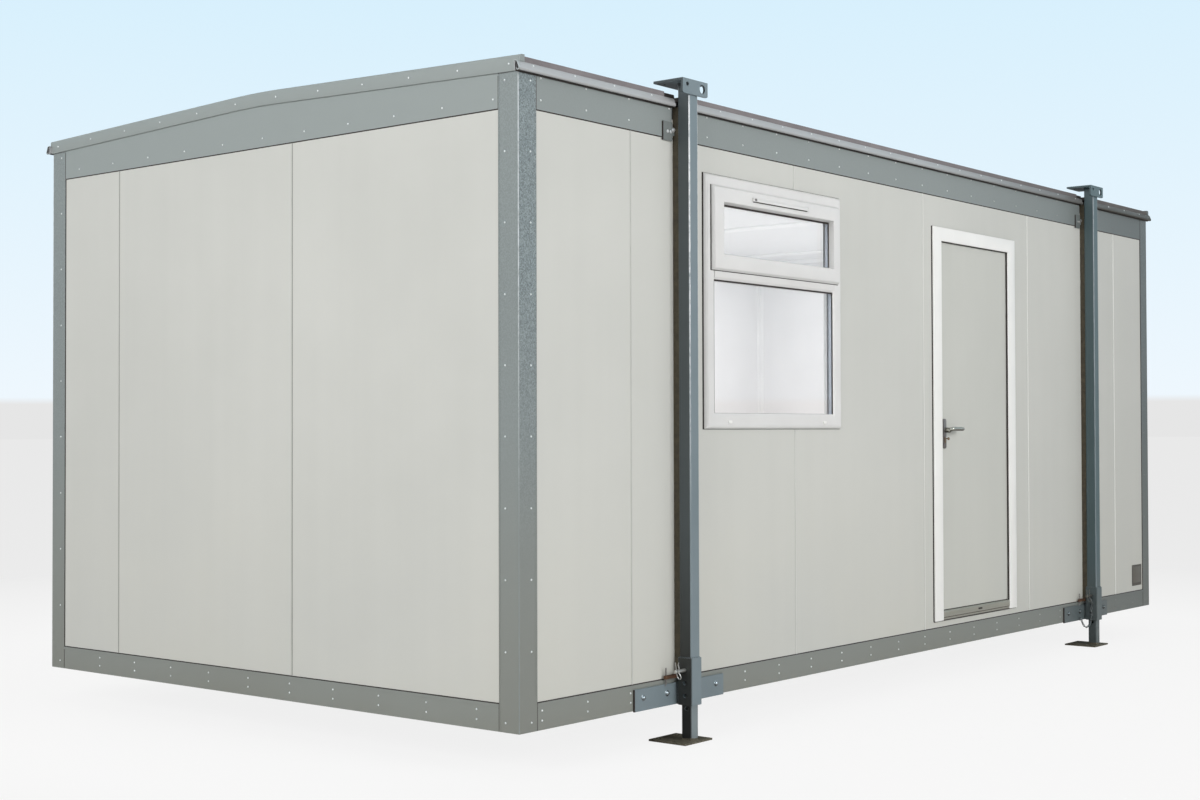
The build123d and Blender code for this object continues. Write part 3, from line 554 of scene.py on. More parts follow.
# %% Pane glass
recipe = Finish("pane_glass")
pane_glass = recipe.paint(Base_Color=(0.985, 0.985, 0.985), Roughness=0.0, IOR=1.45,
                          Transmission_Weight=1.0)
clear = recipe.node("ShaderNodeBsdfTransparent", {}, {"Color": (0.97, 0.97, 0.97)})
shadow = recipe.node("ShaderNodeLightPath", output="Is Shadow Ray")
recipe.feed(recipe.output.inputs[0], recipe.node("ShaderNodeMixShader", {}, {
    0: shadow, 1: recipe.surface, 2: clear}))
print("glass:", pane_glass.name)

# %% [markdown]
# ## Rubber, plates, roof and deck
# The seals are black rubber. The data plate is dark metal with a paler field. The roof
# has a dark gritty covering, painted darker towards the right as painted shade, and the
# floor inside is a boarded deck. All of them are two tones that follow one grain, so the
# plain ones share a helper.

# %% Grained finishes
def grained(name, grain, dark, light, depth, strength, rough, gain, metal=0.0):
    """Two tones, a relief and a gloss that all follow one grain."""
    recipe = Finish(name)
    grain = recipe.noise(*grain)
    recipe.relief(grain, depth, strength)
    return recipe.paint(Base_Color=recipe.blend(grain, dark, light),
                        Roughness=rough + grain * gain, Metallic=metal)


seal_rubber = grained("seal_rubber", (500.0, 3.0, 0.6), (0.016, 0.011, 0.009),
                      (0.032, 0.022, 0.018), 0.0003, 0.4, 0.55, 0.2)
brush = (200.0, 4.0, 0.6, (0.1, 1.0, 1.0))
plate_dark, plate_pale = [
    grained(name, brush, dark, light, 0.0002, 0.3, 0.38, 0.15, 0.6) for name, dark, light in (
        ("plate_dark", (0.082, 0.072, 0.060), (0.125, 0.110, 0.092)),
        ("plate_pale", (0.120, 0.108, 0.090), (0.200, 0.182, 0.155)))]
recipe = Finish("roof_covering")
clouds, grit = recipe.noise(3.0, 5.0, 0.65), recipe.noise(600.0, 2.0, 0.7)
recipe.relief(clouds * 0.6 + grit * 0.4, 0.0012, 0.5)
tone = recipe.blend(clouds.over(0.3, 0.7), (0.165, 0.150, 0.156), (0.235, 0.215, 0.220))
# Painted shade: the covering darkens towards the right-hand end.
tone = recipe.blend(recipe.axis("X").over(0.0, 3.0) * 0.7, tone, (0.058, 0.054, 0.044))
roof_finish = recipe.paint(Base_Color=tone, Roughness=0.62 + grit * 0.2)
recipe = Finish("deck_boards")
grain, boards = recipe.noise(30.0, 5.0, 0.6, (0.08, 1.0, 1.0)), recipe.noise(1.2, 2.0, 0.5)
recipe.relief(grain, 0.0006, 0.4)
tone = recipe.blend(grain * 0.6 + boards * 0.4, (0.20, 0.175, 0.15), (0.36, 0.33, 0.29))
deck_finish = recipe.paint(Base_Color=tone, Roughness=0.5 + grain * 0.2)
print("rubber, plate, roof and deck are mixed")

# %% [markdown]
# ## Finishes on the construction
# Every node of the frame is given its finish here, in one table, so that a reader can
# see which parts share a coat. Painting nodes one by one would hide that.

# %% Give each node its finish
node_finish = {
    panel_finish: "rear_wall left_wall right_wall window_wall front_wall door_head_panel "
                  "door_sill_panel gable_panels",
    corner_finish: "corner_trims", tab_finish: "clamp_tabs", deck_finish: "floor_deck",
    trim_finish: "side_skirts end_skirts side_fascias end_fascias verge_trims",
    underframe_finish: "side_beams cross_beams eaves_beams", lining_white: "ceiling",
    roof_finish: "roof_slab", gutter_finish: "eaves_drips", pane_glass: "window_glass",
    window_white: "window_frame vent_sash trickle_vent", door_white: "door_frame",
    strip_finish: "door_threshold", leaf_finish: "door_leaf", lock_brass: "lock_cylinder",
    furniture_finish: "handle_plates lever_handle frame_hinges leaf_hinges",
    plate_dark: "data_plate", leg_finish: "leg_posts leg_sleeves lifting_brackets",
    foot_finish: "jack_feet", pin_finish: "lock_pins", rust_finish: "keeper_bars",
    packer_finish: "leg_packers"}
for finish, nodes in node_finish.items():
    for node in nodes.split():
        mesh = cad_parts[node].data
        mesh.materials.clear()
        mesh.materials.append(finish)
print("nodes without a finish:",
      sorted(set(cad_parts) - set(" ".join(node_finish.values()).split())))

# %% [markdown]
# ## Walls as drawing boards
# Fittings are set out on a wall with a tape: so far along, so far up, so far out. Each
# wall becomes such a board. A point on it is given in millimetres from the foot of its
# left-hand corner as seen from outside, and the board turns it into a place in the frame.
# That way the same bolt lands rightly on all four walls.

# %% The boards
trims_low, trims_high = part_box("corner_trims")
MM = 0.001


class Wall:
    """One side of the cabin: x runs right along it, y up, and z out of its trims."""

    def __init__(self, x, y, along, span):
        self.corner = Vector((x, y, trims_low.z))
        self.along, self.up = Vector((*along, 0.0)), Vector((0.0, 0.0, 1.0))
        self.out = self.along.cross(self.up)
        self.span = span / MM

    def at(self, x=0.0, up=0.0, out=0.0, lean=0.0, spin=0.0):
        """A matrix that takes millimetres on this board, from a point, to the frame."""
        board = Matrix((self.along, self.up, self.out)).transposed().to_4x4()
        point = self.corner + MM * (x * self.along + up * self.up + out * self.out)
        turn = Matrix.Rotation(lean, 4, "X") @ Matrix.Rotation(spin, 4, "Z")
        return Matrix.Translation(point) @ board @ turn @ Matrix.Scale(MM, 4)

    def standing(self, x, up=0.0, out=0.0):
        """A place for a straight run that stands: its own x goes up the wall."""
        return self.at(x, up, out, spin=math.pi / 2)

    def reach(self, node):
        """Left, right, bottom, top, back and front of a node on this board."""
        board = self.at().inverted()
        ends = [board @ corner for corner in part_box(node)]
        return [value for pair in zip(*ends) for value in sorted(pair)]


length, width = trims_high.x - trims_low.x, trims_high.y - trims_low.y
front = Wall(trims_low.x, trims_low.y, (1, 0), length)
right_end = Wall(trims_high.x, trims_low.y, (0, 1), width)
rear = Wall(trims_high.x, trims_high.y, (-1, 0), length)
left_end = Wall(trims_low.x, trims_high.y, (0, -1), width)
long_walls, end_walls = (front, rear), (left_end, right_end)
all_walls = long_walls + end_walls
print("cabin", round(front.span), "by", round(left_end.span), "mm")

# %% [markdown]
# ## Where the legs are
# Each long side has two legs, and everything on a leg comes four times. So a fitting is
# set out once, from the middle of a leg, and one helper repeats it at all four.

# %% Places on the legs
post_half = 30.0
post_left, post_right, *_, post_face = front.reach("leg_posts")
legs = (post_left + post_half, post_right - post_half)
leg_axis_out = post_face - post_half


def at_legs(offsets, up, *outs, lean=0.0, spin=0.0):
    """Places at every leg, for each offset along the wall and each distance out."""
    return [wall.at(leg + x, up, out, lean, spin) for wall in long_walls for leg in legs
            for x in offsets for out in outs]


print("legs at", [round(leg) for leg in legs], "mm")

# %% [markdown]
# ## A small workshop
# Nearly everything on this cabin is one of five shapes: something turned (a rivet), a
# plate cut to an outline, a section run in a straight line (a gutter), a section mitred
# round an opening (a window frame), or bent wire. One helper for each makes mesh in
# bmesh, which gives exact sizes. Modifiers could do some of it, but the mesh would then
# hide its own dimensions. All but the turned ones are rings of points joined by faces.

# %% Turned pieces
def turned(profile, steps=12):
    """Turns (radius, height) pairs about Z."""
    shape, rings = bmesh.new(), []
    for radius, height in profile:
        angles = [math.tau * i / steps for i in range(steps if radius else 1)]
        rings.append([shape.verts.new((radius * math.cos(a), radius * math.sin(a), height))
                      for a in angles])
    for low, high in zip(rings, rings[1:]):
        for i in range(steps):
            j = (i + 1) % steps
            corners = dict.fromkeys((low[i % len(low)], low[j % len(low)],
                                     high[j % len(high)], high[i % len(high)]))
            if len(corners) > 2:
                shape.faces.new(corners)
    return shape


print("turned() is ready")

# %% [markdown]
# ## Plates
# A plate is its outline at two heights, and its edges can be softened a little, as a
# file would. Outlines are lists of points: here a rectangle, sharp or rounded.

# %% Plates and their outlines
def skinned(rings, closed=False):
    """Joins rings of points with faces; an open row of rings is capped at both ends."""
    shape = bmesh.new()
    rings = [[shape.verts.new(point) for point in ring] for ring in rings]
    for first, second in zip(rings, rings[1:] + (rings[:1] if closed else [])):
        for i in range(len(first)):
            j = (i + 1) % len(first)
            shape.faces.new((first[i], first[j], second[j], second[i]))
    if not closed:
        shape.faces.new(rings[0][::-1])
        shape.faces.new(rings[-1])
    return shape


def plate(outline, low, high, soften=0.0):
    """A plate between two heights, cut to an outline, with softened edges."""
    shape = skinned([[(x, y, height) for x, y in outline] for height in (low, high)])
    if soften:
        bmesh.ops.bevel(shape, geom=list(shape.edges), offset=soften, segments=2,
                        affect="EDGES", profile=0.6)
    return shape


def sheet(left, right, low, high):
    """Outline of a rectangle."""
    return [(left, low), (right, low), (right, high), (left, high)]


def rounded(width, height, radius, steps=4):
    """Outline of a rectangle with rounded corners, about its middle."""
    points = []
    for quarter, (sx, sy) in enumerate(((1, 1), (-1, 1), (-1, -1), (1, -1))):
        cx, cy = sx * (width / 2 - radius), sy * (height / 2 - radius)
        for i in range(steps + 1):
            angle = math.pi / 2 * (quarter + i / steps)
            points.append((cx + radius * math.cos(angle), cy + radius * math.sin(angle)))
    return points


print("plate() is ready")

# %% [markdown]
# ## Runs and mitred frames
# A run is a section at two or more stations along a wall. A mitred frame is a section at
# each corner, slid along the two sides that meet there, which makes its mitres true. Thin
# sheet is drawn as a line and then given its thickness.

# %% Runs, mitred frames and folded sheet
def shifted(section, up, out=0.0, flip=1):
    """A section moved up and out; flip -1 turns it upside down first."""
    return [(up + flip * a, out + b) for a, b in section]


def run(section, start, end, lift=None, stations=2):
    """Runs a closed (up, out) section along x; lift(x) raises it on the way."""
    rings = []
    for i in range(stations):
        x = start + (end - start) * i / (stations - 1)
        rings.append([(x, up + (lift(x) if lift else 0.0), out) for up, out in section])
    return skinned(rings)


def mitred(section, box, shares=(1, 1, 1, 1), foot=None):
    """Mitres a closed (inset, out) section round a box: left, right, bottom and top.

    shares scale the inset on those sides. With foot, the frame has no bottom member, and
    its sides end at that height.
    """
    (left, right, bottom, top), (sl, sr, sb, st) = box, shares
    low, rise = (bottom, sb) if foot is None else (foot, 0)
    corners = ((left, sl, low, rise), (left, sl, top, -st), (right, -sr, top, -st),
               (right, -sr, low, rise))
    return skinned([[(x + i * sx, y + i * sy, out) for i, out in section]
                    for x, sx, y, sy in corners], closed=foot is None)


def folded(line, thickness):
    """A closed section of sheet that follows an open line of (up, out) points."""
    inner = []
    for i, (up, out) in enumerate(line):
        before, after = line[max(i - 1, 0)], line[min(i + 1, len(line) - 1)]
        du, do = after[0] - before[0], after[1] - before[1]
        size = math.hypot(du, do)
        inner.append((up - do / size * thickness, out + du / size * thickness))
    return list(line) + inner[::-1]


print("run(), mitred() and folded() are ready")

# %% [markdown]
# ## Bent wire
# Wire is a ring of points carried along a bent line and kept square to it. A curve with
# a bevel would do the same, but its radius can't follow a list as simply. Each ring takes
# its side from the last one, which stops the wire from twisting.

# %% Wire
def wire(points, radius, sides=8, closed=False):
    """Round wire through points; radius is one number, or one for each point."""
    points, last = [Vector(p) for p in points], len(points) - 1
    radii = radius if isinstance(radius, list) else [radius] * len(points)
    rings, side = [], None
    for i, point in enumerate(points):
        before = points[i - 1] if i or closed else point
        after = points[(i + 1) % len(points)] if i < last or closed else point
        heading = (after - before).normalized()
        side = heading.orthogonal().normalized() if side is None else side
        side = (side - heading * side.dot(heading)).normalized()
        other = heading.cross(side)
        turns = [math.tau * k / sides for k in range(sides)]
        rings.append([point + radii[i] * (math.cos(t) * side + math.sin(t) * other)
                      for t in turns])
    return skinned(rings, closed)


print("wire() is ready")

# %% [markdown]
# ## Fitting a piece
# A shape is stamped at all of its places, and the stamps are joined into one object,
# which is lighter than hundreds of linked copies. The piece then rides on one of the
# cabin's bodies, and may stand for a part of the construction that it shows better. Most
# shapes are drawn on the front wall's own board, so that is where one goes by itself.

# %% Fitting
smooth_below = math.radians(32.0)


def fit(name, finish, slot, *parts, body="cabin", stands_for=()):
    """Fits a piece. A part is a shape on the front wall, or a shape and its walls or places."""
    whole = bmesh.new()
    for part in parts:
        shape, places = part if isinstance(part, tuple) else (part, front)
        pattern = bpy.data.meshes.new("pattern")
        shape.to_mesh(pattern)
        for place in places if isinstance(places, (list, tuple)) else [places]:
            first = len(whole.verts)
            whole.from_mesh(pattern)
            whole.verts.ensure_lookup_table()
            matrix = place.at() if isinstance(place, Wall) else place
            bmesh.ops.transform(whole, matrix=matrix, verts=whole.verts[first:])
        bpy.data.meshes.remove(pattern)
    bmesh.ops.recalc_face_normals(whole, faces=whole.faces)
    mesh = bpy.data.meshes.new(name)
    whole.to_mesh(mesh)
    mesh.shade_smooth()
    mesh.set_sharp_from_angle(angle=smooth_below)
    mesh.materials.append(finish)
    piece = bpy.data.objects.new(name, mesh)
    scene.collection.objects.link(piece)
    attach(piece, body)
    if stands_for:
        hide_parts(*stands_for)
    print(name, "has", sum(len(face.vertices) - 2 for face in mesh.polygons), "triangles")


print("fit() is ready")

# %% [markdown]
# ## Rivets
# The trims are held by pop rivets: a low bright dome over a thin flange. Their even
# pitch tells the eye how large the cabin is, so they are set out as a fitter would: a
# first hole, then a pitch. One dome is turned once and stamped at every hole. The rows
# leave out the holes that a leg's plates would cover.

# %% The rivet and its rows
rivet = turned([(4.0, 0.0), (4.0, 0.5), (3.4, 1.8), (2.1, 2.7), (0.0, 3.0)], 10)
skirt_rows, fascia_low, fascia_high = (36.0, 74.0), 2397.0, 2482.0
first_rivet, rivet_pitch, corner_set = 129.0, 271.5, 69.0
clear_of_leg = {fascia_high: 45.0, fascia_low: 112.0, **dict.fromkeys(skirt_rows, 318.0)}
end_rows = ((129.0, 269.5, 11, (fascia_low,)), (219.0, 270.0, 10, skirt_rows))
corner_rows = (36, 302, 573, 843, 1114, 1383, 1652, 1924, 2194, 2464)


def row(first, pitch, last, clear=0.0):
    """Positions along a long wall, leaving out those within clear of a leg."""
    places = [first + i * pitch for i in range(int((last - first) / pitch) + 1)]
    return [x for x in places if all(abs(x - leg) > clear for leg in legs)]


def from_front(wall, distance):
    """Turns a distance from the front corner into the end wall's own x."""
    return wall.span - distance if wall is left_end else distance


last_rivet = front.span - first_rivet + 10
trim_places = [wall.at(x, up) for wall in long_walls for up, clear in clear_of_leg.items()
               for x in row(first_rivet, rivet_pitch, last_rivet, clear)]
trim_places += [wall.at(from_front(wall, first + pitch * i), up) for wall in end_walls
                for first, pitch, count, ups in end_rows for i in range(count) for up in ups]
corner_places = [wall.at(x, up) for wall in all_walls for up in corner_rows
                 for x in (corner_set, wall.span - corner_set)]
fit("trim_rivets", rivet_finish, "trim", (rivet, trim_places))
fit("corner_rivets", rivet_finish, "trim", (rivet, corner_places))
print("rivets:", len(trim_places + corner_places))

# %% [markdown]
# ## Corner trims
# A corner trim isn't a plain angle. Each flange ends in a flattened hem, which shows as
# a fine double line beside the panel, and its bend carries a painted highlight, a thin
# bright line. Strips of mesh give both a real edge, where a painted line would vanish in
# other light.

# %% Hems and highlighted bends
trim_flange, hem_wide = 101.0, 7.0
trim_top = (trims_high.z - trims_low.z) / MM
mirror = Matrix.Scale(-1, 4, (0, 1, 0))
hem = run([(0.0, 0.0), (0.0, 0.5), (0.6, 1.1), (5.8, 1.1), (hem_wide, 0.7), (hem_wide, 0.0)],
          0.0, trim_top - 1.0)
bend = run([(0.4, -2.8), (-0.3, -2.8), (-0.3, -1.4), (0.2, -0.5), (0.6, -0.1), (1.5, 0.3),
            (2.9, 0.3), (2.9, -0.4)], 0.0, trim_top - 1.0)
fit("corner_hems", corner_finish, "trim", (hem, [
    wall.standing(x, 0.5) for wall in all_walls
    for x in (trim_flange, wall.span - trim_flange + hem_wide)]))
# Painted highlight: the bend strips carry the bright edge finish.
fit("corner_bends", corner_edge, "trim",
    (bend, [wall.standing(0.0, 0.5) @ mirror for wall in all_walls]))
print("corner trims", round(trim_top), "mm tall")

# %% [markdown]
# ## Dark strips along the trims
# A dark strip lies along every edge where a trim meets a panel; it is painted shadow, for
# the shade under the trim's edge. A thinner one marks the seam where two trims meet. A dark
# line in the paint would be quicker, but a strip also rounds off the step. So it is a run
# of its own section, turned over at the far side.

# %% Shadow strips along the trims
skirt_top, fascia_foot, inside = 104.0, 2360.0, trim_flange + 2.0
# Painted shadow: the first section is a dark strip for the shade under each trim's edge; the
# second is a dark seam.
edge_shadow = [(-1.6, -3.2), (-1.6, -0.4), (1.0, -0.6), (3.6, -1.8), (4.6, -3.2)]
seam = [(-0.5, -0.6), (-0.5, 0.7), (2.8, 0.7), (3.2, -0.6)]
lines = []
for wall in all_walls:
    for up, flip in ((skirt_top, 1), (fascia_foot, -1)):
        lines.append((run(shifted(edge_shadow, up, flip=flip), inside, wall.span - inside), wall))
    for x, flip in ((trim_flange, -1), (wall.span - trim_flange, 1)):
        lines += [(run(shifted(section, 0.0, flip=flip), low, high), wall.standing(x))
                  for section, low, high in ((edge_shadow, 0.0, fascia_foot), (seam, 0.5, skirt_top),
                                             (seam, fascia_foot, trim_top - 6.0))]
fit("trim_shadows_and_seams", seal_rubber, None, *lines)
print("sealant lines:", len(lines))

# %% [markdown]
# ## Panel joints
# Two panels meet in a fine groove, and the edge of the skin on its right side is turned
# out a little. Its pale colour is a painted highlight, the thin line of light that such an
# edge catches, and at the left end it is painted dark as painted shade. The last joint on
# a long wall is opened wider. Each line is broken where it runs into the window.

# %% Turned-out edges at the joints
lip_section = [(0.0, -3.2), (0.0, -2.2), (-0.8, -1.7), (-3.2, -1.7), (-4.4, -2.4), (-4.4, -3.2)]
broad_lip = [(across * 1.9, out) for across, out in lip_section]
first_joint, panel_pitch, joints, lip_right = 683.0, 1220.0, 5, 2.6
end_joints = (1290.0, 2510.0)
win_left, win_right, win_low, win_top, win_back, win_face = front.reach("window_frame")
lips = []
for wall in long_walls:
    for i in range(joints):
        x = first_joint + panel_pitch * i
        broken = wall is front and win_left < x < win_right
        spans = [(skirt_top, win_low), (win_top, fascia_foot)] if broken else [
            (skirt_top, fascia_foot)]
        lips += [(run(broad_lip if i == joints - 1 else lip_section, *span),
                  wall.standing(x + lip_right)) for span in spans]
lips.append((run(lip_section, skirt_top, fascia_foot), [
    wall.standing(from_front(wall, distance) + lip_right) for wall in end_walls
    for distance in end_joints]))
fit("panel_lips", lip_finish, "panel", *lips)
print("joints on a long wall:", joints)

# %% [markdown]
# ## Verge trims
# Along each end the roof is closed by a deep folded trim. Its top edge is rounded, it
# bends gently over the ridge, and its own rivets climb with it. The section is run along
# the end wall and lifted as it goes, so one helper makes the whole shape.

# %% Verge trims
verge_left, verge_right, _, verge_top, _, verge_out = left_end.reach("verge_trims")
verge_rise, verge_deep, ridge_bend, verge_end = 48.0, 62.0, 150.0, 0.3
verge_foot = verge_top - verge_rise - verge_deep


def gable_lift(x):
    """Height of the gable over its eaves, eased over the ridge."""
    away = abs(x - (verge_left + verge_right) / 2)
    if away < ridge_bend:
        away = (away * away / ridge_bend + ridge_bend) / 2
    return verge_rise - verge_rise / (left_end.span / 2) * away


rolled = [(51.0, verge_out), (56.5, verge_out - 1.2), (60.0, verge_out - 4.6),
          (61.8, verge_out - 10.0), (verge_deep, -24.0)]
verge_section = shifted([(0.0, 0.0), (0.0, verge_out), (1.0, verge_out + 0.4), *rolled,
                         (55.5, -24.0), (55.5, 0.0)], verge_foot)
end_section = shifted([(34.0, -20.0), (34.0, verge_out), *rolled, (verge_deep, -20.0)], verge_foot)
far_end = left_end.span - verge_end
fit("verge_covers", trim_finish, "trim",
    (run(verge_section, verge_end, far_end, gable_lift, 61), end_walls),
    (run(end_section, verge_left, verge_end, gable_lift), end_walls),
    (run(end_section, far_end, verge_right, gable_lift), end_walls), stands_for=["verge_trims"])
verge_first, verge_pitch, verge_count, verge_up = 42.0, 268.2, 12, verge_foot + 29
verge_row = [verge_first + verge_pitch * i for i in range(verge_count)]
fit("verge_rivets", rivet_finish, "trim", (rivet, [
    wall.at(x, verge_up + gable_lift(x), verge_out + 0.2) for wall in end_walls
    for x in [from_front(wall, distance) for distance in verge_row]]))
print("verge rises", verge_rise, "mm to the ridge")

# %% [markdown]
# ## Gutter strips
# Under the roof's edge runs a strip of bare metal, rolled like a shallow gutter: out
# from the wall, over a rounded shoulder and curled in at its lip. It is broken behind
# each leg. The real strip is sheet, so its section is a line given a thickness, and its
# cut ends show the curl. A dark strip under its lip is painted shadow.

# %% Gutter strips
_, _, gutter_foot, roof_under, _, gutter_out = front.reach("eaves_drips")
gutter_cut, gutter_over = 40.0, 22.0
shoulder = [(-26.5, 13.8), (-30.0, 13.4), (-33.0, 15.4), (-33.6, 19.0), (-32.0, 22.4),
            (-28.5, gutter_out - 0.4), (-24.5, 22.6), (-4.0, 14.2), (-1.4, 11.6), (-0.2, 8.0),
            (-0.2, -1.0)]
gutter_section, curl = [shifted(folded(shoulder, thick), roof_under) for thick in (1.4, 3.0)]
back_strip = sheet(gutter_foot, roof_under - 2.0, -0.2, 2.6)
# Painted shadow: a dark strip in the gap under the gutter's lip.
drip_shadow = shifted([(-33.0, -0.2), (-33.0, 12.6), (-36.0, 12.0), (-38.5, 5.0), (-38.0, -0.2)],
                    roof_under)
edges = [-gutter_over, *[leg + side * gutter_cut for leg in legs for side in (-1, 1)],
         front.span + gutter_over]
bays = list(zip(edges[::2], edges[1::2]))
fit("gutter_shadow", seal_rubber, None,
    *[(run(drip_shadow, start + 6, end - 6), long_walls) for start, end in bays])
fit("gutter_strips", gutter_finish, "drip",
    *[(run(section, *bay), long_walls) for section in (gutter_section, back_strip)
      for bay in bays], stands_for=["eaves_drips"])
fit("gutter_ends", pin_finish, "drip", *[
    (run(curl, start, start + 4), long_walls)
    for start in (-gutter_over - 1.0, front.span + gutter_over - 3.0)])
print("gutter lengths:", [round(end - start) for start, end in bays])

# %% [markdown]
# ## Gutter screws
# Small pan-head screws hold the gutter on its shoulder. Each sits on a wide washer, and
# both lean back with the shoulder's slope. They are turned like the rivets, since at this
# size a slot in the head would never be seen.

# %% Gutter screws
pan_head = turned([(4.4, 0.0), (4.4, 1.6), (3.6, 2.6), (1.8, 3.1), (0.0, 3.2)], 10)
washer = turned([(6.4, -0.4), (6.4, 0.6), (5.8, 1.0), (0.0, 1.0)], 12)
first_screw, screw_pitch, screw_clear, screw_lean = 67.0, 245.0, 60.0, -math.radians(22)
screw_places = [wall.at(x, roof_under - 9.0, 16.6, screw_lean) for wall in long_walls
                for x in row(first_screw, screw_pitch, front.span - 50.0, screw_clear)]
fit("gutter_screws", screw_finish, "drip", (washer, screw_places), (pan_head, screw_places))
print("gutter screws:", len(screw_places))

# %% [markdown]
# ## The window
# The window is a white plastic casement: an outer frame with a fixed light below and a
# top-hung vent above, with a transom between them. Its beads slope down to the glass. The
# frame is a section mitred round its opening, so every joint is a true mitre. Modelling
# it as boxes would lose the beads, which catch most of the light.

# %% Outer frame and transom
win_box = win_left, win_right, win_low, win_top
glass_left, _, glass_low, _, glass_back, glass_face = front.reach("window_glass")
glass_out = 10.0
glass_back, glass_face = glass_back + glass_out, glass_face + glass_out
member = glass_left - win_left - 10.0
frame_shares = (1, 1, (glass_low - win_low) / member, 60.0 / member)
transom_low, transom_top = 1788.0, 1845.0
frame_section = [
    (0, win_back), (0, 3.5), (1.0, 5.5), (7.5, win_face - 2.4), (9.5, win_face - 1.2),
    (13.5, win_face - 1.2), (14.4, win_face - 1.8), (15.4, win_face), (57, win_face),
    (60, win_face - 0.8), (member, win_face - 8.0), (member, glass_face),
    (member - 6, glass_face), (member - 6, glass_back), (member, glass_back),
    (member, win_back + 8), (member - 5, win_back)]
transom_section = [
    (transom_low, glass_back), (transom_low + 6, glass_back), (transom_low + 6, glass_face),
    (transom_low, glass_face), (transom_low, win_face - 8), (transom_low + 9, win_face - 0.8),
    (transom_low + 12, win_face), (transom_top, win_face), (transom_top, win_back + 4),
    (transom_low + 5, win_back + 4)]
fit("window_casing", window_white, "frame_plastic",
    mitred(frame_section, win_box, frame_shares),
    run(transom_section, win_left + member - 2, win_right - member + 2),
    stands_for=["window_frame"])
print("window", round(win_right - win_left), "by", round(win_top - win_low), "mm")

# %% [markdown]
# ## The vent
# The vent hangs from the frame's head and stands proud of it, because its edge laps over
# the frame all round. It is a second mitred frame, with a narrower right stile and
# rails. One section serves all four sides, as its shares scale it across.

# %% Top-hung vent
*vent_box, _, vent_face = front.reach("vent_sash")
vent_left, vent_right, vent_low, vent_top = vent_box
stile, rail, left_share, right_share = 88.0, 76.0, 0.95, 0.68
vent_section = [
    (0, win_face + 2.5), (0, win_face + 4.0), (1.0, win_face + 6.0), (9.0, vent_face - 2.4),
    (11.5, vent_face - 0.6), (14.5, vent_face), (76, vent_face),
    (80, vent_face - 1.2), (stile, glass_face + 5.0), (stile, glass_face),
    (stile - 6, glass_face), (stile - 6, glass_back), (stile, glass_back),
    (stile, glass_back - 5), (stile - 4, glass_back - 8), (48, glass_back - 8),
    (48, win_face + 2.5)]
fit("vent_casement", window_white, "frame_plastic",
    mitred(vent_section, vent_box, (left_share, right_share, rail / stile, rail / stile)),
    stands_for=["vent_sash"])
print("vent", round(vent_right - vent_left), "by", round(vent_top - vent_low), "mm")

# %% [markdown]
# ## Sealed units
# A unit is two panes with a bar of bright metal between them all round, and it sits in
# black rubber. Seen from one side, the far edge of each unit shows all of that: rubber,
# bar, rubber. The construction has each unit as one block, so two thin panes stand for
# it here.

# %% Sealed units and their rubber
lights = [(win_left + member, win_right - member, glass_low, transom_low),
          (vent_left + stile * left_share, vent_right - stile * right_share, vent_low + rail,
           vent_top - rail)]
pane_thick, pane_hidden = 4.0, 4
inner_face, outer_face = glass_back + pane_thick, glass_face - pane_thick
bar = [(-2, inner_face), (-2, outer_face), (5, outer_face), (6, outer_face - 2),
       (6, inner_face + 2), (5, inner_face)]
panes, spacers, rubbers = [], [], []
for light in lights:
    left, right, low, high = light
    outline = sheet(left - pane_hidden, right + pane_hidden, low - pane_hidden, high + pane_hidden)
    panes += [plate(outline, outer_face, glass_face - 0.2),
              plate(outline, glass_back + 0.2, inner_face)]
    spacers.append(mitred(bar, light, (1, 1, 0.1, 0.2)))
    for face, lip, reach, shares in ((glass_face, 2.6, 5.0, (1, 1.5, 0.1, 1.6)),
                                     (glass_back, -2.6, 14.0, (1, 1, 0.1, 0.3))):
        rubber = [(-1.0, face - 0.3), (reach, face - 0.1), (reach - 0.8, face + lip * 0.7),
                  (-1.0, face + lip)]
        rubbers.append(mitred(rubber, light, shares))
fit("glass_panes", pane_glass, "glass", *panes, stands_for=["window_glass"])
fit("spacer_bars", spacer_finish, "glass", *spacers)
fit("glazing_rubbers", seal_rubber, None, *rubbers)
# Painted shade: these seals are drawn black round the frame and the vent, widest at the vent's
# left, and also stand for the shade on the frames' sides.
frame_seal_and_shade = [(-1.6, 2.0), (-2.4, -3.2), (6.0, -3.2), (6.0, 2.6), (-0.2, 3.4)]
vent_seal_and_shade = shifted([(-2.2, 1.4), (-2.2, -0.5), (7, -0.5), (7, 2.6), (-1.2, 2.6)], 0, win_face)
fit("window_seals_and_shade", seal_rubber, None, mitred(frame_seal_and_shade, win_box),
    mitred(vent_seal_and_shade, vent_box, (2.0, 1, 1.3, 0.3)))
print("sealed units:", len(lights))

# %% [markdown]
# ## Small parts of the window
# Two drain covers sit low on the frame, and a slim trickle vent lies along the top rail
# with its slider knob at the left. The hood is white on white, so it is known mainly by
# the shadow under its lip, which a black strip behind the lip deepens as painted shadow.
# That is why its section is run in full, down to the lip's return, where a plain block
# would be lost against the sash.

# %% Drain covers and trickle vent
hood_left, hood_right, hood_low, hood_top, _, hood_out = front.reach("trickle_vent")
hood_middle = (hood_low + hood_top) / 2
drains, drain_up = (1357.0, 2131.0), win_low + 30.0
drain_cover = plate(rounded(28, 13, 6.0), 0.0, 5.0, 1.6)
hood = run([(hood_top, vent_face - 0.5), (hood_top - 1.0, vent_face + 4.0),
            (hood_top - 4.5, vent_face + 8.5), (hood_low + 3.0, hood_out - 0.6),
            (hood_low, hood_out - 1.6), (hood_low, hood_out - 3.0),
            (hood_low + 5.0, hood_out - 4.0), (hood_low + 5.0, vent_face - 0.5)],
           hood_left + 2, hood_right - 2)
hood_end = plate(rounded(9, hood_top - hood_low + 1, 3.0, 3), -0.5,
                 hood_out - vent_face - 0.2, 0.8)
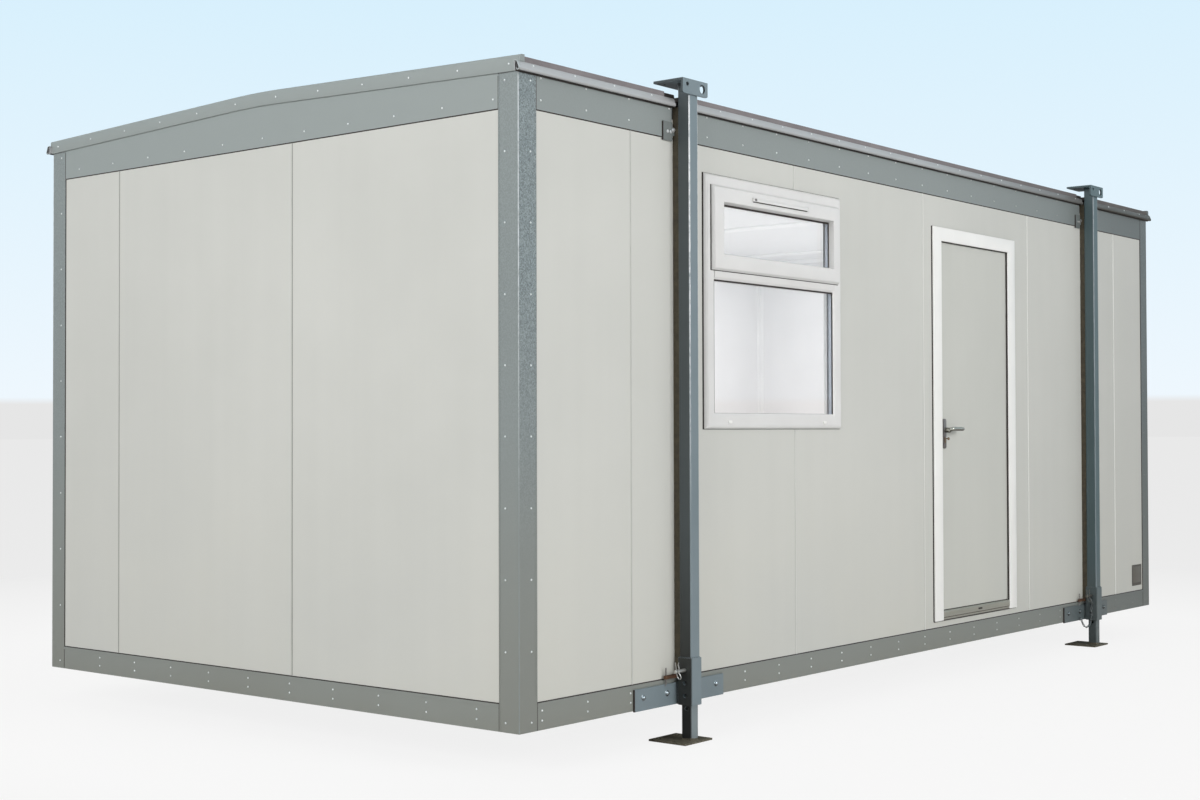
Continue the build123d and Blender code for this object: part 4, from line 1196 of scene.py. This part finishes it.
# Painted shadow: a black strip behind the hood's lip.
slot = plate(sheet(hood_left + 10, hood_right - 10, hood_low - 2.4, hood_low + 4.6),
             vent_face - 0.2, vent_face + 4.5)
knob = plate(rounded(15, 10, 2.5, 3), 0.0, 3.5, 0.8)
fit("window_drain_covers", door_white, "frame_plastic",
    (drain_cover, [front.at(x, drain_up, win_face) for x in drains]))
fit("trickle_hood", window_white, "frame_plastic", hood, (hood_end, [
    front.at(x, hood_middle, vent_face) for x in (hood_left + 4.5, hood_right - 4.5)]),
    stands_for=["trickle_vent"])
fit("trickle_hood_shadow", seal_rubber, None, slot)
fit("trickle_knob", furniture_finish, "hardware",
    (knob, front.at(hood_left + 18, hood_middle, hood_out - 2.5)))
print("trickle vent", round(hood_right - hood_left), "mm long")

# %% [markdown]
# ## The door frame
# The door frame is the same white plastic as the window: two jambs and a head, mitred,
# with no sill. The leaf shuts inwards against a rubber seal behind the frame's stop, so
# from outside the seal shows only as a dark line where the frame is seen from the side.
# That seal reaches a little past the stop, and a dark seal runs round the frame's outside;
# both are partly painted shade, for the shade in the gap and on the frame's side.

# %% Door frame and its seals
*door_box, door_back, door_face = front.reach("door_frame")
door_left, door_right, door_low, door_top = door_box
leaf_left, leaf_right, leaf_low, _, _, leaf_face = front.reach("door_leaf")
_, _, _, tread, _, nose = front.reach("door_threshold")
jamb, pocket, stop_back = 86.0, 70.0, door_face - 9.0
door_shares = (1, 1, 1, 72.0 / jamb)
jamb_section = [
    (0, door_back), (0, door_face - 2.4), (0.8, door_face - 0.7), (2.6, door_face),
    (80, door_face), (83.5, door_face - 0.7), (jamb - 0.6, door_face - 2.6),
    (jamb, door_face - 5.0), (jamb, stop_back), (pocket, stop_back), (pocket, door_back)]
# Painted shade: the stop seal reaches past the stop, so its black also stands for the shaded gap;
# the seal round the outside stands for shade on the frame's side.
stop_seal_and_shade = [(74, stop_back - 0.1), (jamb - 0.2, stop_back - 0.1), (jamb - 0.2, stop_back + 4.4),
             (jamb + 5.0, stop_back + 4.0), (jamb + 6.5, stop_back), (jamb + 5.0, stop_back - 3.0),
             (jamb - 1, leaf_face + 0.1), (74, leaf_face + 0.1)]
wall_seal_and_shade = [(-1.8, 2.2), (-2.6, -3.2), (6.0, -3.2), (6.0, 3.0), (-0.4, 3.4)]
foot_seal = [(door_low - 4.5, -3), (door_low - 4.5, 2.5), (door_low + 1, 6), (door_low + 1, -3)]
fit("door_casing", door_white, "frame_plastic",
    mitred(jamb_section, door_box, door_shares, door_low), stands_for=["door_frame"])
fit("door_seals_and_shade", seal_rubber, None,
    mitred(stop_seal_and_shade, door_box, door_shares, tread), mitred(wall_seal_and_shade, door_box, foot=door_low),
    run(sheet(tread - 0.4, leaf_low - 0.3, -9, -40), leaf_left, leaf_right),
    run(foot_seal, door_left, door_right))
print("door frame", round(door_right - door_left), "by", round(door_top - door_low), "mm")

# %% [markdown]
# ## The threshold
# The threshold is a ribbed metal strip. Its nose has two fine grooves and one drain slot,
# and its tread has a row of ribs for grip. The ribs are cut in the section, so that they
# stay sharp from any side; a bump would flatten out at a low angle. The drain slot is a
# black plate, painted shade for the hollow behind it, and a dark strip under the nose is
# painted shadow.

# %% Threshold
opening = door_left + jamb, door_right - jamb
nose_foot, first_rib, rib_pitch, ribs = tread - 33.0, 3.0, 6.6, 9
nose_section = [(nose_foot, stop_back), (nose_foot, nose - 1.2), (nose_foot + 1.2, nose)]
for groove in (nose_foot + 6.0, nose_foot + 24.0):
    nose_section += [(groove, nose), (groove + 0.9, nose - 1.0), (groove + 2.1, nose - 1.0),
                     (groove + 3.0, nose)]
nose_section += [(tread - 3.0, nose - 0.4), (tread - 0.8, nose - 2.4), (tread, nose - 4.6),
                 (tread, stop_back)]
tread_section = [(door_low, stop_back), (tread, stop_back)]
for rib in [stop_back - first_rib - rib_pitch * i for i in range(ribs)]:
    tread_section += [(tread, rib), (tread - 1.0, rib - 1.0), (tread - 1.0, rib - 2.4),
                      (tread, rib - 3.4)]
tread_section += [(tread, door_back), (door_low, door_back)]
# Painted shadow: a dark strip in the gap under the nose.
nose_shadow = [(nose_foot - 3.5, stop_back - 1), (nose_foot - 3.5, nose - 5),
            (nose_foot + 0.3, nose - 3), (nose_foot + 0.3, stop_back - 1)]
fit("threshold_strip", strip_finish, "threshold",
    run(nose_section, opening[0] + 0.3, opening[1] - 0.3),
    run(tread_section, door_left + pocket, door_right - pocket - 4),
    stands_for=["door_threshold"])
# Painted shade: the drain slot is a black plate.
fit("threshold_shade", seal_rubber, None,
    (plate(rounded(46, 9, 4.0), -0.8, 0.4, 0.1),
     front.at(sum(opening) / 2 + 29, nose_foot + 15.0, nose)), run(nose_shadow, *opening))
print("threshold", round(opening[1] - opening[0]), "mm wide")

# %% [markdown]
# ## The lever
# The lever is a bent round bar that swells a little at its grip. Its neck turns in a
# collar on a long back plate. The same lever is on the inside, made from the same line
# with its depth reversed. The bar is drawn as a bent wire with a radius at each point,
# because that is how such a lever is forged.

# %% Lever
lever_left, _, lever_low, lever_top, lever_in, lever_out = front.reach("lever_handle")
plate_left, plate_right, plate_low, plate_top, plate_in, plate_out = front.reach("handle_plates")
spindle_x, spindle_up, grip_deep = lever_left + 9.0, (lever_low + lever_top) / 2, 9.0
bend_radius = 13.0


def lever_bar(face, grip):
    """One lever, from the plate's face to the end of its grip."""
    way = 1 if grip > face else -1
    line = [(0, -2, face + way * 0.6, 13.6), (0, -2, face + way * 30, 13.2),
            (0, 0, face + way * 33, 10.6), (0, 1, grip - way * bend_radius, 10.0)]
    for i in range(1, 7):
        angle = math.pi / 12 * i
        line.append((bend_radius - bend_radius * math.cos(angle), 1 + 0.5 * i,
                     grip - way * (bend_radius - bend_radius * math.sin(angle)), 10.0 + 0.1 * i))
    for x, back, radius in ((40, 0, 10.6), (80, 0.6, 10.6), (108, 2.0, 10.4), (121, 3.0, 9.6),
                            (127, 3.6, 7.6), (129.5, 3.9, 4.6), (130.3, 4.0, 1.0)):
        line.append((x, 4, grip - way * back, radius))
    return wire([point[:3] for point in line], [point[3] for point in line], 20)


spindle = wire([(0, 0, plate_in - 2), (0, 0, plate_out + 2)], 4.2, 12)
bars = (lever_bar(plate_out, lever_out - grip_deep), lever_bar(plate_in, lever_in + grip_deep))
fit("lever_bar", lever_steel, "hardware",
    *[(bar, front.at(spindle_x, spindle_up)) for bar in (*bars, spindle)],
    body="lever", stands_for=["lever_handle"])
print("lever reaches", round(lever_out - plate_out), "mm out from its plate")

# %% [markdown]
# ## Back plates
# The lever turns in a collar on a long back plate with softened edges, held by two small
# screws. The same set is fitted inside, turned about, so each part is made once and
# placed on both sides of the door.

# %% Back plates and collars
plate_wide, plate_tall, plate_thick = plate_right - plate_left, plate_top - plate_low, 7.0
about = Matrix.Rotation(math.pi, 4, "Y")


def both_sides(up, inset):
    """Places on the outer and the inner back plate, at a height."""
    return [front.at(spindle_x, up, plate_out - inset),
            front.at(spindle_x, up, plate_in + inset) @ about]


plates = both_sides((plate_low + plate_top) / 2, plate_thick)
collar = turned([(16.6, 0.0), (16.6, 1.6), (15.6, 3.0), (12.4, 3.2), (12.4, 0.0)], 24)
small_screw = turned([(3.8, -0.2), (3.8, 0.7), (3.0, 1.3), (0.0, 1.5)], 12)
fit("lock_plates", furniture_finish, "hardware",
    (plate(rounded(plate_wide, plate_tall, 9.0, 5), 0.0, plate_thick, 1.5), plates),
    (collar, both_sides(spindle_up, 0.0)),
    (small_screw, [place @ Matrix.Translation((0, side * 66.0, plate_thick))
                   for place in plates for side in (-1, 1)]),
    body="door", stands_for=["handle_plates"])
print("plates", round(plate_wide), "by", round(plate_tall), "mm")

# %% [markdown]
# ## Key cylinder
# The lock's cylinder has the usual pear-shaped outline: most of a circle, closed by a
# narrow tail. A turn knob stands on the outer face, and on the inner one the keyway is a
# black plate, painted shade for the slot. The outline is worked out from an arc, which
# keeps the round part truly round.

# %% Key cylinder
barrel = [math.radians(-52 + 284 * i / 22) for i in range(23)]
pear = [(8.4 * math.cos(a), 8.4 * math.sin(a)) for a in barrel]
pear += [(-5.1, -20.0), (-3.6, -22.6), (3.6, -22.6), (5.1, -20.0)]
plug = turned([(6.2, 3.4), (6.2, 4.0), (5.8, 4.3), (0.0, 4.3)], 20)
keyway = plate([(-1.0, -4.4), (1.0, -4.4), (1.0, 0.2), (2.0, 1.2), (2.0, 3.4), (-1.0, 4.4)],
               3.9, 4.45)
turn_knob = turned([(2.6, 4.0), (2.2, 13.0), (5.0, 14.6), (7.6, 17.6), (8.0, 20.5), (7.2, 23.6),
                    (4.6, 26.2), (0.0, 27.2)], 20)
cylinder_up = spindle_up - 47.0
keyholes = both_sides(cylinder_up, 0.2)
fit("key_cylinder", lock_brass, "brass", (plate(pear, 0.0, 3.6, 0.5), keyholes),
    (plug, keyholes), (turn_knob, keyholes[0]), body="door", stands_for=["lock_cylinder"])
fit("keyway", seal_rubber, None, (keyway, keyholes[1]), body="door")
print("cylinder", round(cylinder_up - plate_low), "mm above the plates' foot")

# %% [markdown]
# ## Hinges
# The hinges are inside, so they are only seen with the door open. Each half is held by
# countersunk screws, and the barrels get small round finials. The halves ride on
# different bodies, so the screws are two pieces: one stays with the frame, and the other
# leaves with the door. A single piece would tear apart as the door opens.

# %% Hinge screws and finials
hinge_left, flag_right = front.reach("leaf_hinges")[0], front.reach("frame_hinges")[1]
hinge_middles, barrel_half, screw_in = (420.0, 1160.0, 1900.0), 48.0, 15.0
drive = turned([(4.4, -0.6), (4.4, 0.5), (3.6, 0.9), (1.6, 0.9), (1.3, 0.2), (0.0, 0.2)], 12)
finial = turned([(7.2, -0.4), (7.2, 0.8), (6.2, 2.2), (4.4, 2.8), (4.8, 4.2), (3.4, 6.0),
                 (0.0, 6.8)], 16)
frame_screws, leaf_screws = [
    [front.at(x, up + rise, out) @ about for up in hinge_middles for rise in (-34, 0, 34)]
    for x, out in ((flag_right - screw_in, -66.0), (hinge_left + screw_in, -75.0))]
finials = [front.at(leaf_right + 2.5, up + side * barrel_half, -72.0, -side * math.pi / 2)
           for side in (1, -1) for up in hinge_middles]
fit("hinge_screws_frame", furniture_finish, "hardware", (drive, frame_screws), (finial, finials))
fit("hinge_screws_leaf", furniture_finish, "hardware", (drive, leaf_screws), body="door")
print("hinge screws:", len(frame_screws + leaf_screws))

# %% [markdown]
# ## Data plate
# A cabin carries a small plate beside its right-hand corner. It stays blank: a dark frame
# with a paler field and four rivets. Lettering would name a maker, and a library part
# shouldn't. The field is a thin plate of its own, so its edge still catches the light.

# %% Blank field of the data plate
data_left, data_right, data_low, data_top, _, data_out = front.reach("data_plate")
data_wide, data_tall = data_right - data_left, data_top - data_low
tack_in, side_margin, end_margin = 6, 26, 30
field = plate(rounded(data_wide - side_margin, data_tall - end_margin, 4.0, 3), 0.0, 0.6, 0.15)
tack = turned([(2.6, 0.0), (2.4, 0.8), (1.4, 1.4), (0.0, 1.6)], 10)
fit("data_field", plate_pale, "plate",
    (field, front.at((data_left + data_right) / 2, (data_low + data_top) / 2 + 3, data_out)))
fit("data_plate_rivets", rivet_finish, "plate", (tack, [
    front.at(x, up, data_out) for x in (data_left + tack_in, data_right - tack_in)
    for up in (data_low + tack_in, data_top - tack_in)]))
print("data plate", round(data_wide), "by", round(data_tall), "mm")

# %% [markdown]
# ## Bolts of the legs
# Each leg is bolted to the cabin at two heights. Low down a long plate lies against the
# skirt, held by four dome-headed bolts. High up two small tabs clamp the fascia, each with
# a pair of small bolts, and one more bolt in its slot beside the post. The domes are dull,
# and painted darker on their undersides as painted shade, while the others shine. A dark
# strip at one end of each plate and tab is painted shadow. All the bolts of a kind are one
# turned shape, stamped at four legs.

# %% Plate bolts and tab bolts
plate_face, plate_up, tab_face, tab_up = 8.0, 41.0, 6.0, 2385.0
plate_bolts, tab_bolts, slot_bolts = (-254, -94, 94, 254), (-73, -52, 52, 73), (-34, 34)
dome = turned([(10.4, 0.0), (10.2, 2.4), (9.2, 5.0), (7.2, 7.2), (4.2, 8.6), (0.0, 9.1)], 20)
dome_ring = turned([(13.0, -0.3), (13.0, 1.0), (12.2, 1.5), (0.0, 1.5)], 20)
hexagon = turned([(8.6, 0.0), (8.6, 1.0), (7.2, 1.05), (7.2, 5.4), (6.4, 6.2), (0.0, 6.2)], 6)
ring = turned([(9.6, 0.0), (9.6, 1.3), (0.0, 1.3)], 18)
pan = turned([(7.0, 0.0), (6.6, 2.0), (4.8, 3.4), (0.0, 3.9)], 14)
domes = at_legs(plate_bolts, plate_up + 7.0, plate_face)
slots = at_legs(slot_bolts, tab_up + 9.0, tab_face)
fit("plate_bolts", bolt_finish, "pin_steel", (dome, domes), (dome_ring, domes))
fit("tab_bolts", rivet_finish, "pin_steel", (pan, at_legs(tab_bolts, tab_up, tab_face)))
fit("slot_bolts", rivet_finish, "pin_steel", (ring, slots), (hexagon, slots))
# Painted shadow: dark strips at one end of the plates and the tabs.
fit("plate_end_shadows", seal_rubber, None,
    (plate(sheet(-2.4, 0.2, -45, 45), -plate_face, 0.6), at_legs((-310,), plate_up, plate_face)),
    (plate(sheet(-1.8, 0.2, -39, 39), -tab_face, 0.6), at_legs((-104, 41), tab_up, tab_face)))
print("bolts:", 2 * len(domes) + len(slots))

# %% [markdown]
# ## Welds
# The foot plate is welded round the inner tube, the plate is welded to the sleeve, and
# the lifting bracket to the top of the post. A weld is a row of overlapping ripples, so a
# bead is drawn as a wire whose radius swells and shrinks a little at each step, with
# seeded chance. Without it the tube would look pushed through the plate.

# %% Weld beads
chance = random.Random(289)


def bead(corners, size, closed=True):
    """A rippled weld along straight sides between corners."""
    points, radii = [], []
    for a, b in zip(corners, corners[1:] + (corners[:1] if closed else [])):
        a, b = Vector(a), Vector(b)
        steps = max(2, int((b - a).length / (size * 0.55)))
        for i in range(steps):
            points.append(a.lerp(b, i / steps) + Vector([chance.uniform(-0.25, 0.25)
                                                         for _ in range(3)]) * size * 0.3)
            radii.append(size * (0.88 + 0.22 * (i % 2) + chance.uniform(-0.06, 0.06)))
    return wire(points, radii, 6, closed)


def round_tube(half, size):
    """A weld all round a square tube."""
    return bead([(-half, 0, -half), (half, 0, -half), (half, 0, half), (-half, 0, half)], size)


ground = -trims_low.z / MM
foot_top, sleeve_top, cap_up = ground + 8.0, ground + 350.0, 2586.5
foot_holes, hole_outs = (-65, 65), (16, -56)
# Painted shade: dark plugs in the foot plates' holes, where the holes are in shade.
hole_shade = turned([(8.8, -7.4), (8.8, -3.4), (5.0, -3.0), (0.0, -3.2)], 16)
foot_bead, side_bead = round_tube(25.0, 3.6), bead([(0, 0, 0), (0, 86, 0)], 2.6, False)
collar_bead = round_tube(post_half, 2.8)
fit("foot_hole_shade", packer_finish, None,
    (hole_shade, at_legs(foot_holes, foot_top, *hole_outs, lean=-math.pi / 2)))
fit("foot_welds", foot_finish, "rusty_steel", (foot_bead, at_legs((0,), foot_top, leg_axis_out)))
fit("leg_welds", leg_finish, "leg_paint",
    (side_bead, at_legs((-27.0, 27.0), -1.0, plate_face + 1, 19.0)),
    *[(collar_bead, at_legs((0,), up, leg_axis_out)) for up in (sleeve_top + 1.2, cap_up)])
print("welds have ripples of", len(foot_bead.verts) // 6, "rings at each foot")

# %% [markdown]
# ## Highlights on the posts' edges
# The two outer edges of each post carry a painted highlight, a light line up its whole
# height, brightest near the top. Each is a narrow strip that follows the tube's own rounded
# corner, a fraction of a millimetre proud of it. A mask in the paint could draw it too,
# but only by knowing where each of the eight edges stands.

# %% Bright lines on the posts
corner_radius, bracket_foot = 5.0, 2532.0
arc = [math.radians(6 + 13 * i) for i in range(7)]
arris = [(post_half - corner_radius + radius * math.cos(a),
          post_half - corner_radius + radius * math.sin(a))
         for radius, angles in ((corner_radius + 0.4, arc), (corner_radius - 0.6, arc[::-1]))
         for a in angles]
edge_places = [wall.standing(leg, 0.0, leg_axis_out) @ side for wall in long_walls
               for leg in legs for side in (Matrix(), mirror)]
# Painted highlight: each strip carries the bright edge finish.
fit("post_edges", leg_edge, "leg_paint",
    (run(arris, sleeve_top + 4.0, bracket_foot), edge_places))
print("bright lines:", len(edge_places))

# %% [markdown]
# ## Notches in the roof
# The roof's edge is cut back where a leg passes it. A dark filler closes what is left of
# the notch on both sides of the post, or daylight would show through; its black is painted
# shade, for the shade deep in the notch. It is run like the gutter, because it follows the
# same line.

# %% Dark fillers in the roof's notches
notch_half, post_clear = 104.0, 32.0
filler = shifted([(0.0, -58.0), (0.0, 9.0), (3.0, 10.6), (16.0, 8.0), (18.5, 2.0),
                  (18.5, -58.0)], roof_under + 0.5)
fit("notch_fillers", seal_rubber, "roof", *[
    (run(filler, leg + start, leg + end), long_walls) for leg in legs
    for start, end in ((-notch_half, -post_clear), (post_clear, notch_half))])
print("notches", 2 * notch_half, "mm wide")

# %% [markdown]
# ## Pins and clips
# A round pin locks each jack. A spring clip of bent wire goes through its end, and a thin
# flat clip hangs from the rusty keeper bar behind. Both clips are drawn as wire through
# a few points, as they would be bent round pegs.

# %% Spring clips and keeper clips
pin_up, pin_end, keeper_up = ground + 300.0, -100.0, ground + 275.0
spring_clip = wire([(0, 40, 0), (0, -14, 0), (0, -25, 2), (0, -32, 8), (0, -30, 16),
                    (0, -22, 19), (0, -13, 16), (0, -5, 11), (0, 4, 11), (0, 12, 15),
                    (0, 21, 15), (0, 30, 12.5), (0, 41, 18)], 2.1)
keeper_clip = wire([(0, -38, -1), (0, -20, 0), (0, 16, 0), (0, 36, 1), (0, 40, 3), (0, 36, 5.5),
                    (0, 16, 4.6), (0, -14, 4.2), (0, -30, 6)], 1.5)
pin_tip = turned([(8.0, -1.0), (8.0, 0.4), (6.4, 2.6), (0.0, 2.8)], 20)
sideways = Matrix.Rotation(-math.pi / 2, 4, "Y")
fit("spring_clips", pin_finish, "pin_steel",
    (spring_clip, at_legs((pin_end + 8.0,), pin_up, leg_axis_out, spin=0.22)),
    (pin_tip, [place @ sideways for place in at_legs((pin_end,), pin_up, leg_axis_out)]))
fit("keeper_clips", furniture_finish, "rusty_steel",
    (keeper_clip, at_legs((pin_end - 8.0,), keeper_up, 10.0)))
print("pins", round(pin_up - ground), "mm above the ground")

# %% [markdown]
# ## Chain
# The right-hand front leg has a chain as well, which once held its pin. It sags from a
# staple to the post and hangs on from there. Each link is a closed wire, and every second
# link is turned a quarter of the way round, because that is what makes a row of rings
# read as a chain.

# %% Chain of the right-hand front leg
link_long, link_wide, link_wire = 22.0, 13.0, 2.3
pitch = link_long - 2 * link_wire - 0.6
sag_line = [(-106, 4, 22), (-101, -16, 26), (-92, -34, 30), (-78, -47, 36),
            (-62, -46, 42), (-50, -34, 50), (-45, -16, 55), (-44, 2, 58)]
drop_line = [(-46, 6, 58), (-43, 30, 64), (-42, 62, 56), (-42, 92, 64), (-46, 128, 58)]


def along_line(line):
    """Points one chain pitch apart along a bent line."""
    line = [Vector(p) for p in line]
    points, carry = [], 0.0
    for a, b in zip(line, line[1:]):
        reach = (b - a).length
        while carry <= reach:
            points.append(a.lerp(b, carry / reach))
            carry += pitch
        carry -= reach
    return points


bow, straight = link_wide / 2 - link_wire, (link_long - link_wide) / 2
oval = []
for angle in [math.tau * i / 16 for i in range(16)]:
    end = straight if math.cos(angle) > 0 else -straight
    oval.append((bow * math.sin(angle), bow * math.cos(angle) + end, 0))
links, chain_leg = [], front.at(legs[1])
pairs = [pair for points in (along_line(sag_line), along_line(drop_line))
         for pair in zip(points, points[1:])]
for i, (a, b) in enumerate(pairs):
    turn = (b - a).normalized().to_track_quat("Y", "Z").to_matrix().to_4x4()
    quarter = Matrix.Rotation(math.pi / 2 * (i % 2) + 0.3, 4, "Y")
    links.append(chain_leg @ Matrix.Translation((a + b) / 2) @ turn @ quarter)
staple = wire([(-106, -2, 7), (-106, -2, 19), (-106, 4, 23), (-106, 11, 19), (-106, 11, 7)], 2.6)
fit("leg_chain", chain_steel, "rusty_steel", (wire(oval, link_wire, closed=True), links),
    (staple, chain_leg))
print("chain links:", len(links))

# %% [markdown]
# ## Inner skins
# The room is seen through the window and the open door. Its walls have white inner
# skins: thin sheets, cut round the door and the window. A closed box would be quicker,
# but it would block both openings, and the leaf would cut through it as it swings.

# %% Inner skins
deck_left, deck_right, _, deck_up, _, deck_front = front.reach("floor_deck")
ceiling_up, skin_thick = front.reach("ceiling")[2], 1.2
skin_in = deck_front - skin_thick
room = {wall: (deck_left, deck_right) if wall in long_walls else
        (-deck_front, wall.span + deck_front) for wall in all_walls}
front_sheets = [(deck_left, win_left, deck_up, ceiling_up),
                (win_right, door_left, deck_up, ceiling_up),
                (door_right, deck_right, deck_up, ceiling_up),
                (win_left, win_right, deck_up, win_low),
                (win_left, win_right, win_top, ceiling_up),
                (door_left, door_right, door_top, ceiling_up)]
skins = [plate(sheet(*edges), skin_in, deck_front) for edges in front_sheets]
skins += [(plate(sheet(*room[wall], deck_up, ceiling_up), skin_in, deck_front), wall)
          for wall in (rear, *end_walls)]
fit("inner_skins", lining_white, "liner", *skins)
print("inner skins:", len(skins))

# %% [markdown]
# ## Boards of the room
# A skirting board runs round the floor and a coving round the ceiling. Flat strips cover
# the ceiling's joints, and narrow ones the corners of the walls. All are runs of painted
# board, cut to length as a joiner would and stopped at the door. Cutting them with
# booleans would also work, but it leaves untidy faces.

# %% Skirting, coving and cover strips
skirting_tall, coving_deep, corner_reach, door_gap = 66, 26, 34.0, 8
ceiling_joints = (1000.0, 2540.0, 4095.0, 5560.0)
skirting = shifted([(0, 0), (0, -12), (58, -12), (64, -8), (skirting_tall, 0)],
                   deck_up, deck_front)
coving = shifted([(0, 0), (0, -coving_deep), (-4, -coving_deep), (-coving_deep, -4),
                  (-coving_deep, 0)], ceiling_up, deck_front)
strip = shifted([(0, -52), (-10, -52), (-14, -46), (-14, 46), (-10, 52), (0, 52)], ceiling_up)
boards = [run(skirting, deck_left, door_left - door_gap),
          run(skirting, door_right + door_gap, deck_right)]
boards += [(run(skirting, *room[wall]), wall) for wall in (rear, *end_walls)]
boards += [(run(coving, *room[wall]), wall) for wall in all_walls]
boards.append((run(strip, *room[left_end]), [left_end.at(out=-x) for x in ceiling_joints]))
for wall, (low, high) in room.items():
    boards += [(plate(sheet(start, start + corner_reach, deck_up + skirting_tall,
                            ceiling_up - coving_deep), skin_in - 3.0, skin_in + 0.2, 1.0), wall)
               for start in (low, high - corner_reach)]
fit("room_boards", board_white, "liner", *boards)
print("boards in the room:", len(boards))

# %% [markdown]
# ## Roof covering
# From above the roof is one shallow gable. Its covering comes in lapped lengths across
# the cabin, and a flat cap runs along the ridge. The laps are only a few millimetres
# high, but a bare roof would give the eye nothing to measure.

# %% Roof laps and ridge cap
roof_left, roof_right, _, roof_ridge, _, roof_edge = front.reach("roof_slab")
cap_half, lap_tail = 110.0, 64.0
half_span = left_end.span / 2 + roof_edge
fall = math.atan2(verge_rise, half_span)
down_slope = Matrix.Rotation(math.pi / 2, 4, "Y") @ Matrix.Rotation(fall, 4, "Z")
lap = run([(0, 0), (2.2, 0), (2.2, 60), (0, lap_tail)], 80.0, half_span - 30.0)
lap_places = [wall.at(x if wall is front else front.span - x - lap_tail,
                      roof_ridge - verge_rise, roof_edge) @ down_slope
              for x in [first_joint + panel_pitch * i for i in range(4)] for wall in long_walls]
cap_side = -cap_half * math.sin(fall)
cap = shifted([(cap_side - 1, -cap_half), (cap_side + 2.4, -cap_half), (2.6, 0),
               (cap_side + 2.4, cap_half), (cap_side - 1, cap_half), (-1, 0)], roof_ridge)
fit("roof_laps", roof_finish, "roof", (lap, lap_places),
    (run(cap, roof_left + 70, roof_right - 70), front.at(out=-left_end.span / 2)))
print("roof laps:", len(lap_places))
